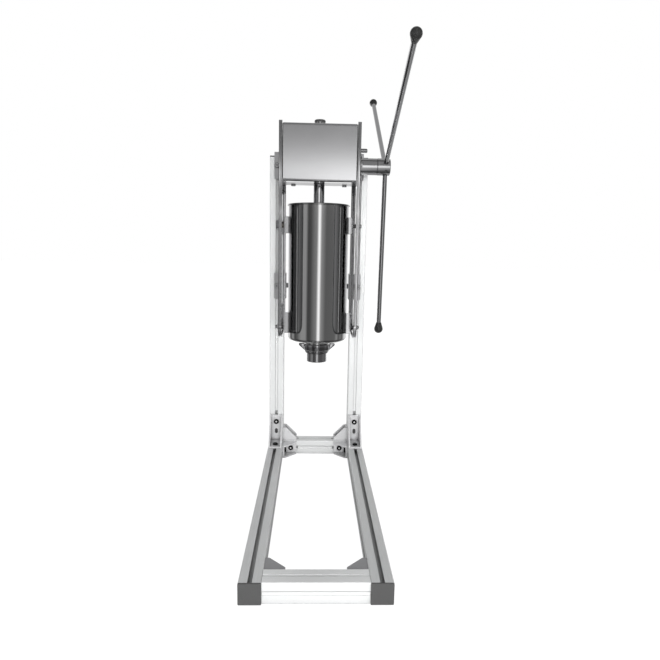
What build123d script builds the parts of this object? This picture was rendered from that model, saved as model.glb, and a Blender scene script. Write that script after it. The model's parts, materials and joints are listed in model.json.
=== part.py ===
from build123d import *
import os
from math import acos, asin, cos, degrees, pi, radians, sin, sqrt, tan

# Churro maker: a hand-cranked rack press hung in front of a stand of slotted aluminium profile.
# Millimetres, +Z up.  The viewer stands on the -Y side and the lever hub is on the +X side.
# Every size below is measured in the stand's own coordinates: X = 0 in the middle of the stand,
# Y = 0 at the front end of the rails, Z = 0 on the floor.  The last step shifts the whole model
# so that the origin lies on the floor under the middle of its bounding box.

# ---- fits ----------------------------------------------------------------------------------
FIT = 0.02            # radial gap of pieces that are fixed in each other
RUNNING = 0.05        # radial gap of a bearing
SLACK = 0.2           # gap beside a piece that slides loosely
BOLT_SLACK = 0.3      # radial gap of a screw in its hole
OVERCUT = 1.0         # how far a cut runs past the face that it opens
EDGE = 1.0            # chamfer of turned edges
BEVEL = 1.5           # chamfer of edges that a hand meets

# ---- stand ---------------------------------------------------------------------------------
RAIL_LENGTH = 720.0
PROFILE = 40.0
SERIES = PROFILE / 40.0           # slots, nuts and screws grow with the profile
PROFILE_CORNER = 2.0 * SERIES
PROFILE_BORE = 6.8 * SERIES
SLOT_MOUTH = 8.2 * SERIES
SLOT_LIP = 4.5 * SERIES
SLOT_WIDTH = 20.0 * SERIES
SLOT_SHOULDER = 8.0 * SERIES
SLOT_FLOOR = 9.0 * SERIES
SLOT_DEPTH = 12.3 * SERIES
POST_OVERLAP = 4.0                # of each post behind the outer edge of its column
POST_DROP = 49.0                  # from the top of the head down to the top of the posts
CAP_THICKNESS = 3.2
CAP_EDGE = 0.8

# ---- stand brackets and fasteners ----------------------------------------------------------
BRACKET_LEG = 5.0         # thickness of a leg
BRACKET_GUSSET = 4.0      # thickness of a side wall
BRACKET_NOSE = 8.0        # height of a gusset at the end of a leg
BRACKET_MARGIN = 2.0      # beside a bracket, to the edge of its profile
BRACKET_WIDTH = PROFILE - 2 * BRACKET_MARGIN
SMALL_BRACKET = 38.0      # both legs of an inner bracket
TALL_BRACKET = 79.0       # upright leg of the bracket in front of a post
LONG_BRACKET = 64.0       # its leg on the rail
SMALL_HOLE = 22.0         # from the corner to the screw
TALL_HOLE = 59.0
LONG_HOLE = 46.0
OBLONG = (15.0, 8.6)      # spare oblong hole of the big bracket
OBLONG_PLACE = 31.0
SCREW_SIZE = 8.0 * SERIES
SCREW_HEAD = 14.0 * SERIES
SCREW_HEAD_HEIGHT = 4.6 * SERIES
SOCKET_SIZE = 5.8 * SERIES        # across the corners of the hexagon socket
SOCKET_DEPTH = 2.6 * SERIES
NUT_LENGTH = 16.0 * SERIES
NUT_WIDTH = 18.0 * SERIES
NUT_THICKNESS = 5.0 * SERIES

# ---- cylinder: the press is built round it ----------------------------------------------------
CYLINDER_SIZE = 152.0
CYLINDER_HEIGHT = 344.5
CYLINDER_BOTTOM = 358.0   # above the floor
CYLINDER_WALL = 1.5
CYLINDER_FLOOR = 2.0
CYLINDER_CORNER = 4.0     # outer radius of the base
CYLINDER_TOP = CYLINDER_BOTTOM + CYLINDER_HEIGHT
RIM_BEAD = 4.6
OUTLET_SIZE = 58.0
OUTLET_WALL = 4.0
OUTLET_LENGTH = 28.0
LUG = (12.0, 26.0, 42.0)  # depth from the cylinder, width, height
LUG_HEIGHT = CYLINDER_TOP - 49.5
FOOT_LUG = (13.0, 34.0, 54.0)
FOOT_LUG_HEIGHT = CYLINDER_BOTTOM + 45.0
PIVOT_HEIGHT = CYLINDER_BOTTOM + 32.0
PIVOT_SIZE = 10.0
SIDE_HEX = (16.0, 8.0)    # nut on a bolt at the side: across flats, height
SIDE_STUD = 5.5           # of the bolt, beyond its nut
LATCH_PIN = 10.0
LATCH_BITE = 7.0          # of the pin in its lug
LATCH_KNOB = (24.0, 10.0)
LATCH_FLUTES = 16
LATCH_FLUTE_SIZE = 3.0
FLUTE_OFFSET = 0.6        # of a flute's centre, outside the knob
FOOT_BOLT_GAP = 2.0       # from the cylinder to the end of a foot bolt
LUG_GAP = 1.0             # from an upper lug to the latch bush
LATCH_BUSH_WALL = 3.0
LATCH_BUSH_COLLAR = (3.0, 2.0)    # reach beyond the bush, thickness

# ---- press frame: two folded columns with the head between them ------------------------------
SIDE_ROOM = 20.5          # from the cylinder to the outside of a column
DEPTH_ROOM = 19.0         # from the cylinder to the front and the back of the columns
PRESS_WIDTH = CYLINDER_SIZE + 2 * SIDE_ROOM
PRESS_DEPTH = CYLINDER_SIZE + 2 * DEPTH_ROOM
PRESS_BOTTOM = CYLINDER_BOTTOM + 16.0
MOUNT_GAP = 6.0           # between the columns' back and the posts, filled by the angles
COLUMN_SHEET = 2.0
COLUMN_FLANGE = 8.0
COLUMN_CORNER = 30.0      # radius of the columns' lower corners
HEAD_FLOOR = CYLINDER_TOP + 59.5  # underside of the bottom plate, high enough to tip the cylinder
HEAD_FLOOR_THICKNESS = 8.0
SHAFT_HEIGHT = HEAD_FLOOR + 44.0
HEAD_TOP = SHAFT_HEIGHT + 79.0
PRESS_TOP = HEAD_TOP + 4.0
COVER_DROP = 10.0         # of the cover's lower fold under the bottom plate
COVER_SHEET = 1.5
COVER_SIDE_GAP = 2.0      # beside the cover, to the columns' flanges
COVER_FOLD = 6.0          # outer radius of its folds
COVER_LIP = 26.0
BACK_SHEET = 2.0
CLEAT_LEG = 22.0          # angle that ties the bottom plate to the back plate
CLEAT_SHEET = 3.0
CLEAT_WIDTH = 30.0
CLEAT_INSET = 26.5        # of its bolt from the inside of the column
CLEAT_HOLE = 13.2         # of its bolt from the back plate
HEAD_BOLT_SIZE = 6.0
HEAD_BOLT_HEX = (10.0, 4.2)
ANGLE_HEIGHT = 70.0       # mounting angle behind a column
ANGLE_FRONT_MARGIN = 7.5  # beyond its front screw
ANGLE_SIDE_MARGIN = 14.0  # beyond its side screw
ANGLE_PLACES = (PRESS_BOTTOM + 81.0, HEAD_FLOOR + 16.0)

# ---- rack, pinion and lever ------------------------------------------------------------------
MODULE = 2.5
DEDENDUM = 1.25 * MODULE
PINION_TEETH = 18
PRESSURE_ANGLE = 20.0
INVOLUTE_STEPS = 3
BACKLASH = 0.2            # extra centre distance
PINION_WIDTH = 20.0
SHAFT_SIZE = 20.0
ROD_SIZE = 28.0
ROD_TOP = HEAD_TOP + 20.0
RACK_FLAT = ROD_SIZE / 2 - 2.0    # from the rod's axis to the tips of the teeth
STROKE_MARGIN = 2.0       # of the raised piston inside the rim
SHAFT_HOLE_SLACK = 1.0    # radial gap of the shaft in the column, where it doesn't bear
LEFT_BUSH_LENGTH = 12.0
LEFT_BUSH_WALL = 8.0
SLEEVE_SIZE = SHAFT_SIZE + 22.0
SLEEVE_REACH = 51.5       # from the column to the lever hub
FLANGE_SIZE = SLEEVE_SIZE + 24.0
FLANGE_THICKNESS = 8.0
FLANGE_BOLTS = 4
FLANGE_BOLT_CIRCLE = SLEEVE_SIZE + 12.0
HUB_SIZE = SLEEVE_SIZE + 1.0
HUB_LENGTH = 34.0
HUB_GAP = 0.3
ARM_PLACE = 22.44         # of the arms' plane along the hub
ARM_SIZE = 12.0
ARM_COUNT = 3
ARM_SEAT = SHAFT_SIZE / 2 + 3.0   # from the shaft's axis to the inner end of an arm
ARM_LENGTH = 430.0        # from the shaft's axis to the middle of the ball
ARM_ANGLE = 64.7          # from upright to the arm that points at the viewer
KNOB_BALL = 23.6
KNOB_NECK = 14.0
KNOB_TAPER = 18.5         # from the ball's middle to the small end
KNOB_GRIP = 14.0          # of the arm inside the knob
GRUB_SIZE = 8.0
GRUB_LENGTH = 10.0
GRUB_SOCKET = (4.0, 3.0)  # across corners, depth
GUIDE_BLOCK = (36.0, 34.0, 40.0)
GUIDE_HEIGHT = SHAFT_HEIGHT + 29.0
STUD_SIZE = 10.0
STUD_REACH = 20.5         # beyond the right column
STUD_OFFSET = (ROD_SIZE + GUIDE_BLOCK[1]) / 2     # in front of the rod's axis
BUSH_WALL = 6.0
BUSH_COLLAR = 5.0
BUSH_COLLAR_HEIGHT = 4.0
GROMMET_WALL = 2.5
GROMMET_COLLAR = 3.0
GROMMET_HEIGHT = 4.0
TOP_CAP_HEIGHT = 6.0
TOP_CAP_SOCKET = (9.0, 4.0)

# ---- piston, winged nut and nozzle -------------------------------------------------------------
PISTON_GAP = 0.5          # over the cylinder's floor, at the end of the stroke
PISTON_HEIGHT = 22.0
PISTON_PLATE = 10.0
PISTON_SIDE = 1.5
PISTON_RECESS = 36.0      # diameter of the hollow for its nut
SEAL_HEIGHT = 8.0
SEAL_DEPTH = 4.0
SEAL_RISE = 7.0
ROD_STUD = 16.0
PISTON_NUT = (24.0, 9.0)  # across flats, height
NUT_TOP_GAP = 11.0        # from the cylinder's floor down to the top of the winged nut
WING_NUT_SIZE = OUTLET_SIZE + 12.0
WING_NUT_RIM = 12.0       # height of its cylindrical part
WING_SPAN = WING_NUT_SIZE + 25.0
WING_THICKNESS = 7.0
WING_DROP = 20.0
WING_TIP = 3.0            # height of a wing at its end
NOZZLE_FLANGE = 4.0
NOZZLE_LEDGE = 4.0
NOZZLE_SIZE = OUTLET_SIZE - 6.0
NOZZLE_WALL = 3.0
NOZZLE_LENGTH = 27.0      # below its flange
NOZZLE_MOUTH = NOZZLE_SIZE - 14.0
NOZZLE_LIP = 3.0
WING_NUT_NECK = NOZZLE_SIZE + 5.0
DIE_THICKNESS = 4.0
STAR_POINTS = 8
STAR_SIZE = (26.0, 17.0)  # over the points, over the valleys

# ---- places that follow from the sizes ---------------------------------------------------------
STAND_WIDTH = PRESS_WIDTH + 2 * (PROFILE - POST_OVERLAP)
POST_LENGTH = HEAD_TOP - POST_DROP - PROFILE
POST_X = (STAND_WIDTH - PROFILE) / 2
POST_FRONT = RAIL_LENGTH - PROFILE
INNER_X = STAND_WIDTH / 2 - PROFILE
PRESS_BACK = POST_FRONT - MOUNT_GAP
PRESS_FRONT = PRESS_BACK - PRESS_DEPTH
WEB_OUT = PRESS_WIDTH / 2
WEB_IN = WEB_OUT - COLUMN_SHEET
AXIS_Y = (PRESS_FRONT + PRESS_BACK) / 2
PITCH_RADIUS = MODULE * PINION_TEETH / 2
SHAFT_Y = AXIS_Y + RACK_FLAT - MODULE + PITCH_RADIUS + BACKLASH
FLOOR_TOP = HEAD_FLOOR + HEAD_FLOOR_THICKNESS
COVER_BOTTOM = HEAD_FLOOR - COVER_DROP
INSIDE_BACK = PRESS_BACK - COLUMN_SHEET
SLEEVE_END = WEB_OUT + SLEEVE_REACH
HUB_START = SLEEVE_END + HUB_GAP
ARM_X = HUB_START + ARM_PLACE
PISTON_BOTTOM = CYLINDER_BOTTOM + CYLINDER_FLOOR + PISTON_GAP
PISTON_TOP = PISTON_BOTTOM + PISTON_HEIGHT
STROKE = CYLINDER_TOP - STROKE_MARGIN - PISTON_BOTTOM
BORE_RADIUS = CYLINDER_SIZE / 2 - CYLINDER_WALL
OUTLET_END = CYLINDER_BOTTOM - OUTLET_LENGTH
NUT_TOP = CYLINDER_BOTTOM - NUT_TOP_GAP
NUT_BOTTOM = OUTLET_END - NOZZLE_FLANGE - NOZZLE_LEDGE
NOZZLE_BOTTOM = OUTLET_END - NOZZLE_FLANGE - NOZZLE_LENGTH
ARM_TURNS = [ARM_ANGLE + i * 360 / ARM_COUNT for i in range(ARM_COUNT)]
REACH_BACK = max(-sin(radians(turn)) for turn in ARM_TURNS) * ARM_LENGTH + KNOB_BALL / 2
X_MIN = -STAND_WIDTH / 2
X_MAX = max(ARM_X + KNOB_BALL / 2, HUB_START + HUB_LENGTH)
Y_MIN = -CAP_THICKNESS
Y_MAX = SHAFT_Y + REACH_BACK
TO_ORIGIN = Pos(-(X_MIN + X_MAX) / 2, -(Y_MIN + Y_MAX) / 2, 0)


# ---- small helpers -------------------------------------------------------------------------
def polygon(*points):
    return make_face(Polyline(*points, close=True))


def block(x0, x1, y0, y1, z0, z1):
    return Pos((x0 + x1) / 2, (y0 + y1) / 2, (z0 + z1) / 2) * Box(abs(x1 - x0), abs(y1 - y0), abs(z1 - z0))


def upright(radius, z0, z1, x=0.0, y=0.0):
    return Pos(x, y, (z0 + z1) / 2) * Cylinder(radius, z1 - z0)


def crosswise(radius, x0, x1, y, z):
    return Pos((x0 + x1) / 2, y, z) * Rot(Y=90) * Cylinder(radius, abs(x1 - x0))


def turned(*points):
    return revolve(Plane.XZ * polygon(*points), Axis.Z)


def both_sides(piece):
    return [piece, mirror(piece, Plane.YZ)]


def hexagon(across_flats, height):
    return extrude(RegularPolygon(across_flats / sqrt(3), 6), height)


def top_bevel(piece, size, axis=Axis.Z):
    """Chamfers the last edge of a piece along the axis."""
    return chamfer(piece.edges().sort_by(axis)[-1], size)


def write(name, *solids):
    placed = [TO_ORIGIN * solid for group in solids for solid in group.solids()]
    export_step(placed[0] if len(placed) == 1 else Compound(children=placed), f"parts/{name}.step")


# ---- stand -----------------------------------------------------------------------------------
def profile_section():
    half = PROFILE / 2
    side = [(SLOT_MOUTH / 2, half + OVERCUT), (SLOT_MOUTH / 2, half - SLOT_LIP),
            (SLOT_WIDTH / 2, half - SLOT_LIP), (SLOT_WIDTH / 2, half - SLOT_SHOULDER),
            (SLOT_FLOOR / 2, half - SLOT_DEPTH)]
    slot = polygon(*side, *[(-x, y) for x, y in reversed(side)])
    section = RectangleRounded(PROFILE, PROFILE, PROFILE_CORNER) - Circle(PROFILE_BORE / 2)
    for quarter in range(4):
        section -= Rot(Z=90 * quarter) * slot
    return section


def extrusion(length):
    return extrude(profile_section(), length)


def end_cap():
    cap = extrude(RectangleRounded(PROFILE, PROFILE, PROFILE_CORNER), CAP_THICKNESS)
    return chamfer(cap.faces().sort_by(Axis.Z)[-1].edges(), CAP_EDGE)


def stand_profiles():
    rail = Pos(POST_X, 0, PROFILE / 2) * Rot(X=-90) * extrusion(RAIL_LENGTH)
    post = Pos(POST_X, POST_FRONT + PROFILE / 2, PROFILE) * extrusion(POST_LENGTH)
    crossbar = Pos(-INNER_X, PROFILE / 2, PROFILE / 2) * Rot(Y=90) * extrusion(2 * INNER_X)
    for name, piece in (("rail", rail), ("post", post)):
        right, left = both_sides(piece)
        write(name + "_right", right)
        write(name + "_left", left)
    write("front_crossbar", crossbar)
    write("rear_crossbar", Pos(0, POST_FRONT, 0) * crossbar)
    front = Pos(POST_X, 0, PROFILE / 2) * Rot(X=90) * end_cap()
    rear = Pos(POST_X, RAIL_LENGTH, PROFILE / 2) * Rot(X=-90) * end_cap()
    top = Pos(POST_X, POST_FRONT + PROFILE / 2, PROFILE + POST_LENGTH) * end_cap()
    write("rail_end_caps", *both_sides(front), *both_sides(rear))
    write("post_top_caps", *both_sides(top))


def corner_bracket(base, height, base_hole, upright_hole, oblong=False):
    """Die-cast angle: base along +X, upright along +Z, two side walls, open in front."""
    leg = BRACKET_LEG
    outline = polygon((0, 0), (base, 0), (base, BRACKET_NOSE), (BRACKET_NOSE, height), (0, height))
    end = base + OVERCUT
    room = polygon((leg, leg), (end, leg), (end, height + OVERCUT), (leg, height + OVERCUT))
    piece = extrude(Plane.XZ * outline, BRACKET_WIDTH / 2, both=True)
    piece -= extrude(Plane.XZ * room, BRACKET_WIDTH / 2 - BRACKET_GUSSET, both=True)
    hole = Cylinder(SCREW_SIZE / 2 + BOLT_SLACK, 3 * leg)
    piece -= Pos(base_hole, 0, 0) * hole
    piece -= Pos(0, 0, upright_hole) * Rot(Y=90) * hole
    if oblong:
        piece -= Pos(-leg, 0, OBLONG_PLACE) * Rot(Y=90) * extrude(SlotOverall(*OBLONG), 3 * leg)
    return piece


def screw(length):
    """Button-head screw: its head stands on Z = 0, its shank goes down."""
    head = top_bevel(upright(SCREW_HEAD / 2, 0, SCREW_HEAD_HEIGHT), SCREW_HEAD_HEIGHT / 3)
    socket = extrude(RegularPolygon(SOCKET_SIZE / 2, 6), SOCKET_DEPTH)
    head -= Pos(0, 0, SCREW_HEAD_HEIGHT - SOCKET_DEPTH) * socket
    return head + upright(SCREW_SIZE / 2, -length, 0)


def slot_nut():
    """Nut for a profile's slot: the face of the profile is Z = 0, the slot runs along X."""
    top = -SLOT_LIP
    nut = block(-NUT_LENGTH / 2, NUT_LENGTH / 2, -NUT_WIDTH / 2, NUT_WIDTH / 2, top - NUT_THICKNESS, top)
    edges = nut.faces().sort_by(Axis.Z)[0].edges().filter_by(Axis.X)
    nut = chamfer(edges, NUT_THICKNESS / 3)
    return nut - Pos(0, 0, top) * Cylinder(SCREW_SIZE / 2 + FIT, 4 * NUT_THICKNESS)


def slot_screw(point, outward, along, plate):
    """Screw and nut that clamp a plate of that thickness on a profile's face."""
    place = Plane(origin=point, x_dir=along, z_dir=outward)
    shank = plate + SLOT_LIP + NUT_THICKNESS
    return place * Pos(0, 0, plate) * screw(shank), place * slot_nut()


def stand_brackets():
    rail_top = PROFILE
    big = corner_bracket(LONG_BRACKET, TALL_BRACKET, LONG_HOLE, TALL_HOLE, oblong=True)
    small = corner_bracket(SMALL_BRACKET, SMALL_BRACKET, SMALL_HOLE, SMALL_HOLE)
    screws = []
    nuts = []

    def fasten(point, outward, along, plate=BRACKET_LEG):
        bolt, nut = slot_screw(point, outward, along, plate)
        screws.extend(both_sides(bolt))
        nuts.extend(both_sides(nut))

    # in front of each post, standing on the rail
    foot = Pos(POST_X, POST_FRONT, rail_top) * Rot(Z=-90) * big
    fasten((POST_X, POST_FRONT - LONG_HOLE, rail_top), (0, 0, 1), (0, 1, 0))
    fasten((POST_X, POST_FRONT, rail_top + TALL_HOLE), (0, -1, 0), (0, 0, 1))
    # between each post and the rear crossbar's top
    rear_y = POST_FRONT + PROFILE / 2
    side = Pos(INNER_X, rear_y, rail_top) * Rot(Z=180) * small
    fasten((INNER_X - SMALL_HOLE, rear_y, rail_top), (0, 0, 1), (1, 0, 0))
    fasten((INNER_X, rear_y, rail_top + SMALL_HOLE), (-1, 0, 0), (0, 0, 1))
    # in the flat corners between rail and crossbar
    middle = PROFILE / 2
    rear = Pos(INNER_X, POST_FRONT, middle) * Rot(Z=180) * Rot(X=-90) * small
    fasten((INNER_X - SMALL_HOLE, POST_FRONT, middle), (0, -1, 0), (1, 0, 0))
    fasten((INNER_X, POST_FRONT - SMALL_HOLE, middle), (-1, 0, 0), (0, 1, 0))
    front = Pos(INNER_X, PROFILE, middle) * Rot(Z=180) * Rot(X=90) * small
    fasten((INNER_X - SMALL_HOLE, PROFILE, middle), (0, 1, 0), (1, 0, 0))
    fasten((INNER_X, PROFILE + SMALL_HOLE, middle), (-1, 0, 0), (0, 1, 0))
    write("post_foot_brackets", *both_sides(foot))
    write("post_side_brackets", *both_sides(side))
    write("rear_corner_brackets", *both_sides(rear))
    write("front_corner_brackets", *both_sides(front))
    write("bracket_screws", *screws)
    write("bracket_slot_nuts", *nuts)


def mounting_angles():
    """Angles behind the columns, each wrapped round the inner front corner of a post."""
    inside = INNER_X - MOUNT_GAP
    reach = POST_X + ANGLE_FRONT_MARGIN
    back = POST_FRONT + PROFILE / 2 + ANGLE_SIDE_MARGIN
    outline = polygon((inside, PRESS_BACK), (reach, PRESS_BACK), (reach, POST_FRONT), (INNER_X, POST_FRONT),
                      (INNER_X, back), (inside, back))
    angles = []
    screws = []
    nuts = []
    hole = Cylinder(SCREW_SIZE / 2 + BOLT_SLACK, 4 * MOUNT_GAP)
    for low in ANGLE_PLACES:
        middle = low + ANGLE_HEIGHT / 2
        angle = Pos(0, 0, low) * extrude(outline, ANGLE_HEIGHT)
        angle -= Pos(POST_X, POST_FRONT, middle) * Rot(X=90) * hole
        angle -= Pos(INNER_X, POST_FRONT + PROFILE / 2, middle) * Rot(Y=90) * hole
        angles.append(angle)
        for point, outward in (((POST_X, POST_FRONT, middle), (0, -1, 0)),
                               ((INNER_X, POST_FRONT + PROFILE / 2, middle), (-1, 0, 0))):
            bolt, nut = slot_screw(point, outward, (0, 0, 1), MOUNT_GAP)
            screws.extend(both_sides(bolt))
            nuts.extend(both_sides(nut))
    write("mounting_angles_right", *angles)
    write("mounting_angles_left", *[mirror(angle, Plane.YZ) for angle in angles])
    write("mounting_screws", *screws)
    write("mounting_slot_nuts", *nuts)


# ---- press frame -------------------------------------------------------------------------------
def column_side(inset, top):
    """Side view of a column, in Y and Z, shrunk by the inset."""
    front = PRESS_FRONT + inset
    back = PRESS_BACK - inset
    low = PRESS_BOTTOM + inset
    bend = COLUMN_CORNER - inset
    edge = Polyline((front, low + bend), (front, top), (back, top), (back, low + bend))
    edge += RadiusArc((back, low + bend), (back - bend, low), bend)
    edge += Line((back - bend, low), (front + bend, low))
    edge += RadiusArc((front + bend, low), (front, low + bend), bend)
    return make_face(edge)


def column():
    """Right-hand column: a sheet with a flange turned in along its front, bottom and back."""
    side = Plane.YZ * column_side(0, PRESS_TOP)
    room = Plane.YZ * column_side(COLUMN_SHEET, PRESS_TOP + OVERCUT)
    piece = Pos(WEB_OUT - COLUMN_FLANGE, 0, 0) * extrude(side, COLUMN_FLANGE)
    return piece - Pos(WEB_IN - 2 * COLUMN_FLANGE, 0, 0) * extrude(room, 2 * COLUMN_FLANGE)


def web_hole(radius, y, z):
    return crosswise(radius, WEB_IN - OVERCUT, WEB_OUT + OVERCUT, y, z)


def columns():
    pivot = web_hole(PIVOT_SIZE / 2 + FIT, AXIS_Y, PIVOT_HEIGHT)
    right = column() - pivot
    right -= web_hole(PIVOT_SIZE / 2 + FIT, AXIS_Y, LUG_HEIGHT)
    right -= web_hole(SHAFT_SIZE / 2 + SHAFT_HOLE_SLACK, SHAFT_Y, SHAFT_HEIGHT)
    right -= web_hole(STUD_SIZE / 2 + FIT, AXIS_Y - STUD_OFFSET, GUIDE_HEIGHT)
    left = column() - pivot - web_hole(LATCH_PIN / 2 + LATCH_BUSH_WALL + FIT, AXIS_Y, LUG_HEIGHT)
    write("column_right", right)
    write("column_left", mirror(left, Plane.YZ))


def head_cover():
    """One folded sheet: top, front and a lip under the front."""
    half = WEB_OUT - COLUMN_FLANGE - COVER_SIDE_GAP
    lip = PRESS_FRONT + COVER_LIP

    def side_view(inset):
        front = PRESS_FRONT + inset
        low = COVER_BOTTOM + inset
        top = HEAD_TOP - inset
        corners = (lip, low), (front, low), (front, top), (INSIDE_BACK, top)
        return FilletPolyline(*corners, radius=COVER_FOLD - inset)

    outer = side_view(0)
    inner = side_view(COVER_SHEET)
    ends = [Line(outer @ place, inner @ place) for place in (0, 1)]
    section = make_face([*outer.edges(), *inner.edges(), *[end.edge() for end in ends]])
    cover = extrude(Plane.YZ * section, half, both=True)
    hole = ROD_SIZE / 2 + SLACK + GROMMET_WALL + FIT
    write("head_cover", cover - upright(hole, HEAD_TOP - COVER_FOLD, HEAD_TOP + COVER_FOLD, y=AXIS_Y))


def head_plates():
    bush = ROD_SIZE / 2 + RUNNING + BUSH_WALL
    low = HEAD_FLOOR - OVERCUT
    back_face = INSIDE_BACK - BACK_SHEET
    floor = block(-WEB_IN, WEB_IN, PRESS_FRONT + COLUMN_SHEET, back_face, HEAD_FLOOR, FLOOR_TOP)
    floor -= upright(bush + FIT, low, FLOOR_TOP + OVERCUT, y=AXIS_Y)
    back = block(-WEB_IN, WEB_IN, back_face, INSIDE_BACK, HEAD_FLOOR, HEAD_TOP - COVER_SHEET)
    leg = CLEAT_LEG
    sheet = CLEAT_SHEET
    corner = polygon((0, 0), (0, leg), (-sheet, leg), (-sheet, sheet), (-leg, sheet), (-leg, 0))
    cleat = extrude(Plane.YZ * corner, CLEAT_WIDTH / 2, both=True)
    bolt_x = WEB_IN - CLEAT_INSET
    bolt_y = back_face - CLEAT_HOLE
    across, height = HEAD_BOLT_HEX
    hexagonal = hexagon(across, height)
    size = HEAD_BOLT_SIZE
    bolt = Pos(0, 0, HEAD_FLOOR - height) * hexagonal + Pos(0, 0, FLOOR_TOP + sheet) * hexagonal
    bolt += upright(size / 2, low, FLOOR_TOP + sheet + size)
    hole = Pos(bolt_x, bolt_y, 0) * upright(size / 2 + FIT, low, FLOOR_TOP + leg)
    for piece in both_sides(hole):
        floor -= piece
    write("head_bottom_plate", floor)
    write("head_back_plate", back)
    write("head_angles", *both_sides(Pos(bolt_x, back_face, FLOOR_TOP) * cleat - hole))
    write("head_bolts", *both_sides(Pos(bolt_x, bolt_y, 0) * bolt))


def rod_guides():
    rod = ROD_SIZE / 2
    bore = rod + RUNNING
    wall = bore + BUSH_WALL
    collar = wall + BUSH_COLLAR
    bush = turned((bore, HEAD_FLOOR), (wall, HEAD_FLOOR), (wall, FLOOR_TOP), (collar, FLOOR_TOP),
                  (collar, FLOOR_TOP + BUSH_COLLAR_HEIGHT), (bore, FLOOR_TOP + BUSH_COLLAR_HEIGHT))
    bore = rod + SLACK
    wall = bore + GROMMET_WALL
    low = HEAD_TOP - COVER_SHEET
    grommet = turned((bore, low), (wall, low), (wall, HEAD_TOP), (wall + GROMMET_COLLAR, HEAD_TOP),
                     (wall + GROMMET_COLLAR, HEAD_TOP + GROMMET_HEIGHT), (bore, HEAD_TOP + GROMMET_HEIGHT))
    write("rod_bush", Pos(0, AXIS_Y, 0) * bush)
    write("rod_grommet", Pos(0, AXIS_Y, 0) * grommet)
    width, depth, height = GUIDE_BLOCK
    stud_y = AXIS_Y - STUD_OFFSET
    shoe = Pos(0, stud_y, GUIDE_HEIGHT) * Box(width, depth, height)
    shoe -= upright(rod + RUNNING, GUIDE_HEIGHT - height, GUIDE_HEIGHT + height, y=AXIS_Y)
    shoe -= crosswise(STUD_SIZE / 2 + FIT, -width, width, stud_y, GUIDE_HEIGHT)
    stud = crosswise(STUD_SIZE / 2, -WEB_IN, WEB_OUT + STUD_REACH, stud_y, GUIDE_HEIGHT)
    stud = top_bevel(stud, BEVEL, Axis.X)
    write("rod_guide_shoe", shoe)
    write("guide_stud", stud)


# ---- drive ---------------------------------------------------------------------------------------
def involute(base_radius, radius):
    """Angle by which an involute has turned, in radians, where it reaches that radius."""
    turn = acos(base_radius / radius)
    return tan(turn) - turn


def pinion_section():
    base = PITCH_RADIUS * cos(radians(PRESSURE_ANGLE))
    root = PITCH_RADIUS - DEDENDUM
    tip = PITCH_RADIUS + MODULE
    half_tooth = pi / (2 * PINION_TEETH) + involute(base, PITCH_RADIUS)
    radii = [base + (tip - base) * step / INVOLUTE_STEPS for step in range(INVOLUTE_STEPS + 1)]

    def at(radius, angle):
        return (radius * cos(angle), radius * sin(angle))

    edges = []
    for tooth in range(PINION_TEETH):
        middle = tooth * 2 * pi / PINION_TEETH
        rise = [at(r, middle - half_tooth + involute(base, r)) for r in radii]
        fall = [at(r, middle + half_tooth - involute(base, r)) for r in reversed(radii)]
        foot = at(root, middle + half_tooth)
        following = at(root, middle + 2 * pi / PINION_TEETH - half_tooth)
        edges += [Line(at(root, middle - half_tooth), rise[0]), Spline(*rise)]
        edges += [RadiusArc(rise[-1], fall[0], -tip), Spline(*fall), Line(fall[-1], foot)]
        edges += [RadiusArc(foot, following, -root)]
    return make_face([edge.edge() for edge in edges])


def drive():
    shaft_end = HUB_START + HUB_LENGTH
    shaft = crosswise(SHAFT_SIZE / 2, OVERCUT - WEB_IN, shaft_end, SHAFT_Y, SHAFT_HEIGHT)
    pinion = extrude(pinion_section() - Circle(SHAFT_SIZE / 2 + FIT), PINION_WIDTH / 2, both=True)
    # a tooth of the pinion points at the rod
    write("drive_pinion", Pos(0, SHAFT_Y, SHAFT_HEIGHT) * Rot(X=180) * Rot(Y=90) * Rot(Z=90) * pinion)
    write("drive_shaft", top_bevel(shaft, EDGE, Axis.X))
    bore = SHAFT_SIZE / 2 + RUNNING
    outside = SHAFT_SIZE / 2 + LEFT_BUSH_WALL
    bush = crosswise(outside, -WEB_IN, LEFT_BUSH_LENGTH - WEB_IN, SHAFT_Y, SHAFT_HEIGHT)
    write("shaft_bush_left", bush - crosswise(bore, -WEB_OUT, 0, SHAFT_Y, SHAFT_HEIGHT))
    face = WEB_OUT + FLANGE_THICKNESS
    bearing = crosswise(FLANGE_SIZE / 2, WEB_OUT, face, SHAFT_Y, SHAFT_HEIGHT)
    bearing += crosswise(SLEEVE_SIZE / 2, WEB_OUT, SLEEVE_END, SHAFT_Y, SHAFT_HEIGHT)
    bearing -= crosswise(bore, 0, shaft_end, SHAFT_Y, SHAFT_HEIGHT)
    head = Rot(Y=90) * hexagon(*HEAD_BOLT_HEX)
    radius = HEAD_BOLT_SIZE / 2
    bolts = []
    for index in range(FLANGE_BOLTS):
        turn = radians(360 * index / FLANGE_BOLTS)
        y = SHAFT_Y + FLANGE_BOLT_CIRCLE / 2 * sin(turn)
        z = SHAFT_HEIGHT + FLANGE_BOLT_CIRCLE / 2 * cos(turn)
        bolts.append(Pos(face, y, z) * head + crosswise(radius, WEB_OUT, face + OVERCUT, y, z))
        bearing -= crosswise(radius + FIT, 0, shaft_end, y, z)
    write("shaft_bearing", bearing)
    write("bearing_bolts", *bolts)


def at_hub(piece, turn=0.0):
    """Places a piece made round the X axis at the shaft, turned from upright towards the viewer."""
    return Pos(ARM_X, SHAFT_Y, SHAFT_HEIGHT) * Rot(X=turn) * piece


def arm_hole():
    return upright(ARM_SIZE / 2 + FIT, ARM_SEAT - FIT, HUB_SIZE)


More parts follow.
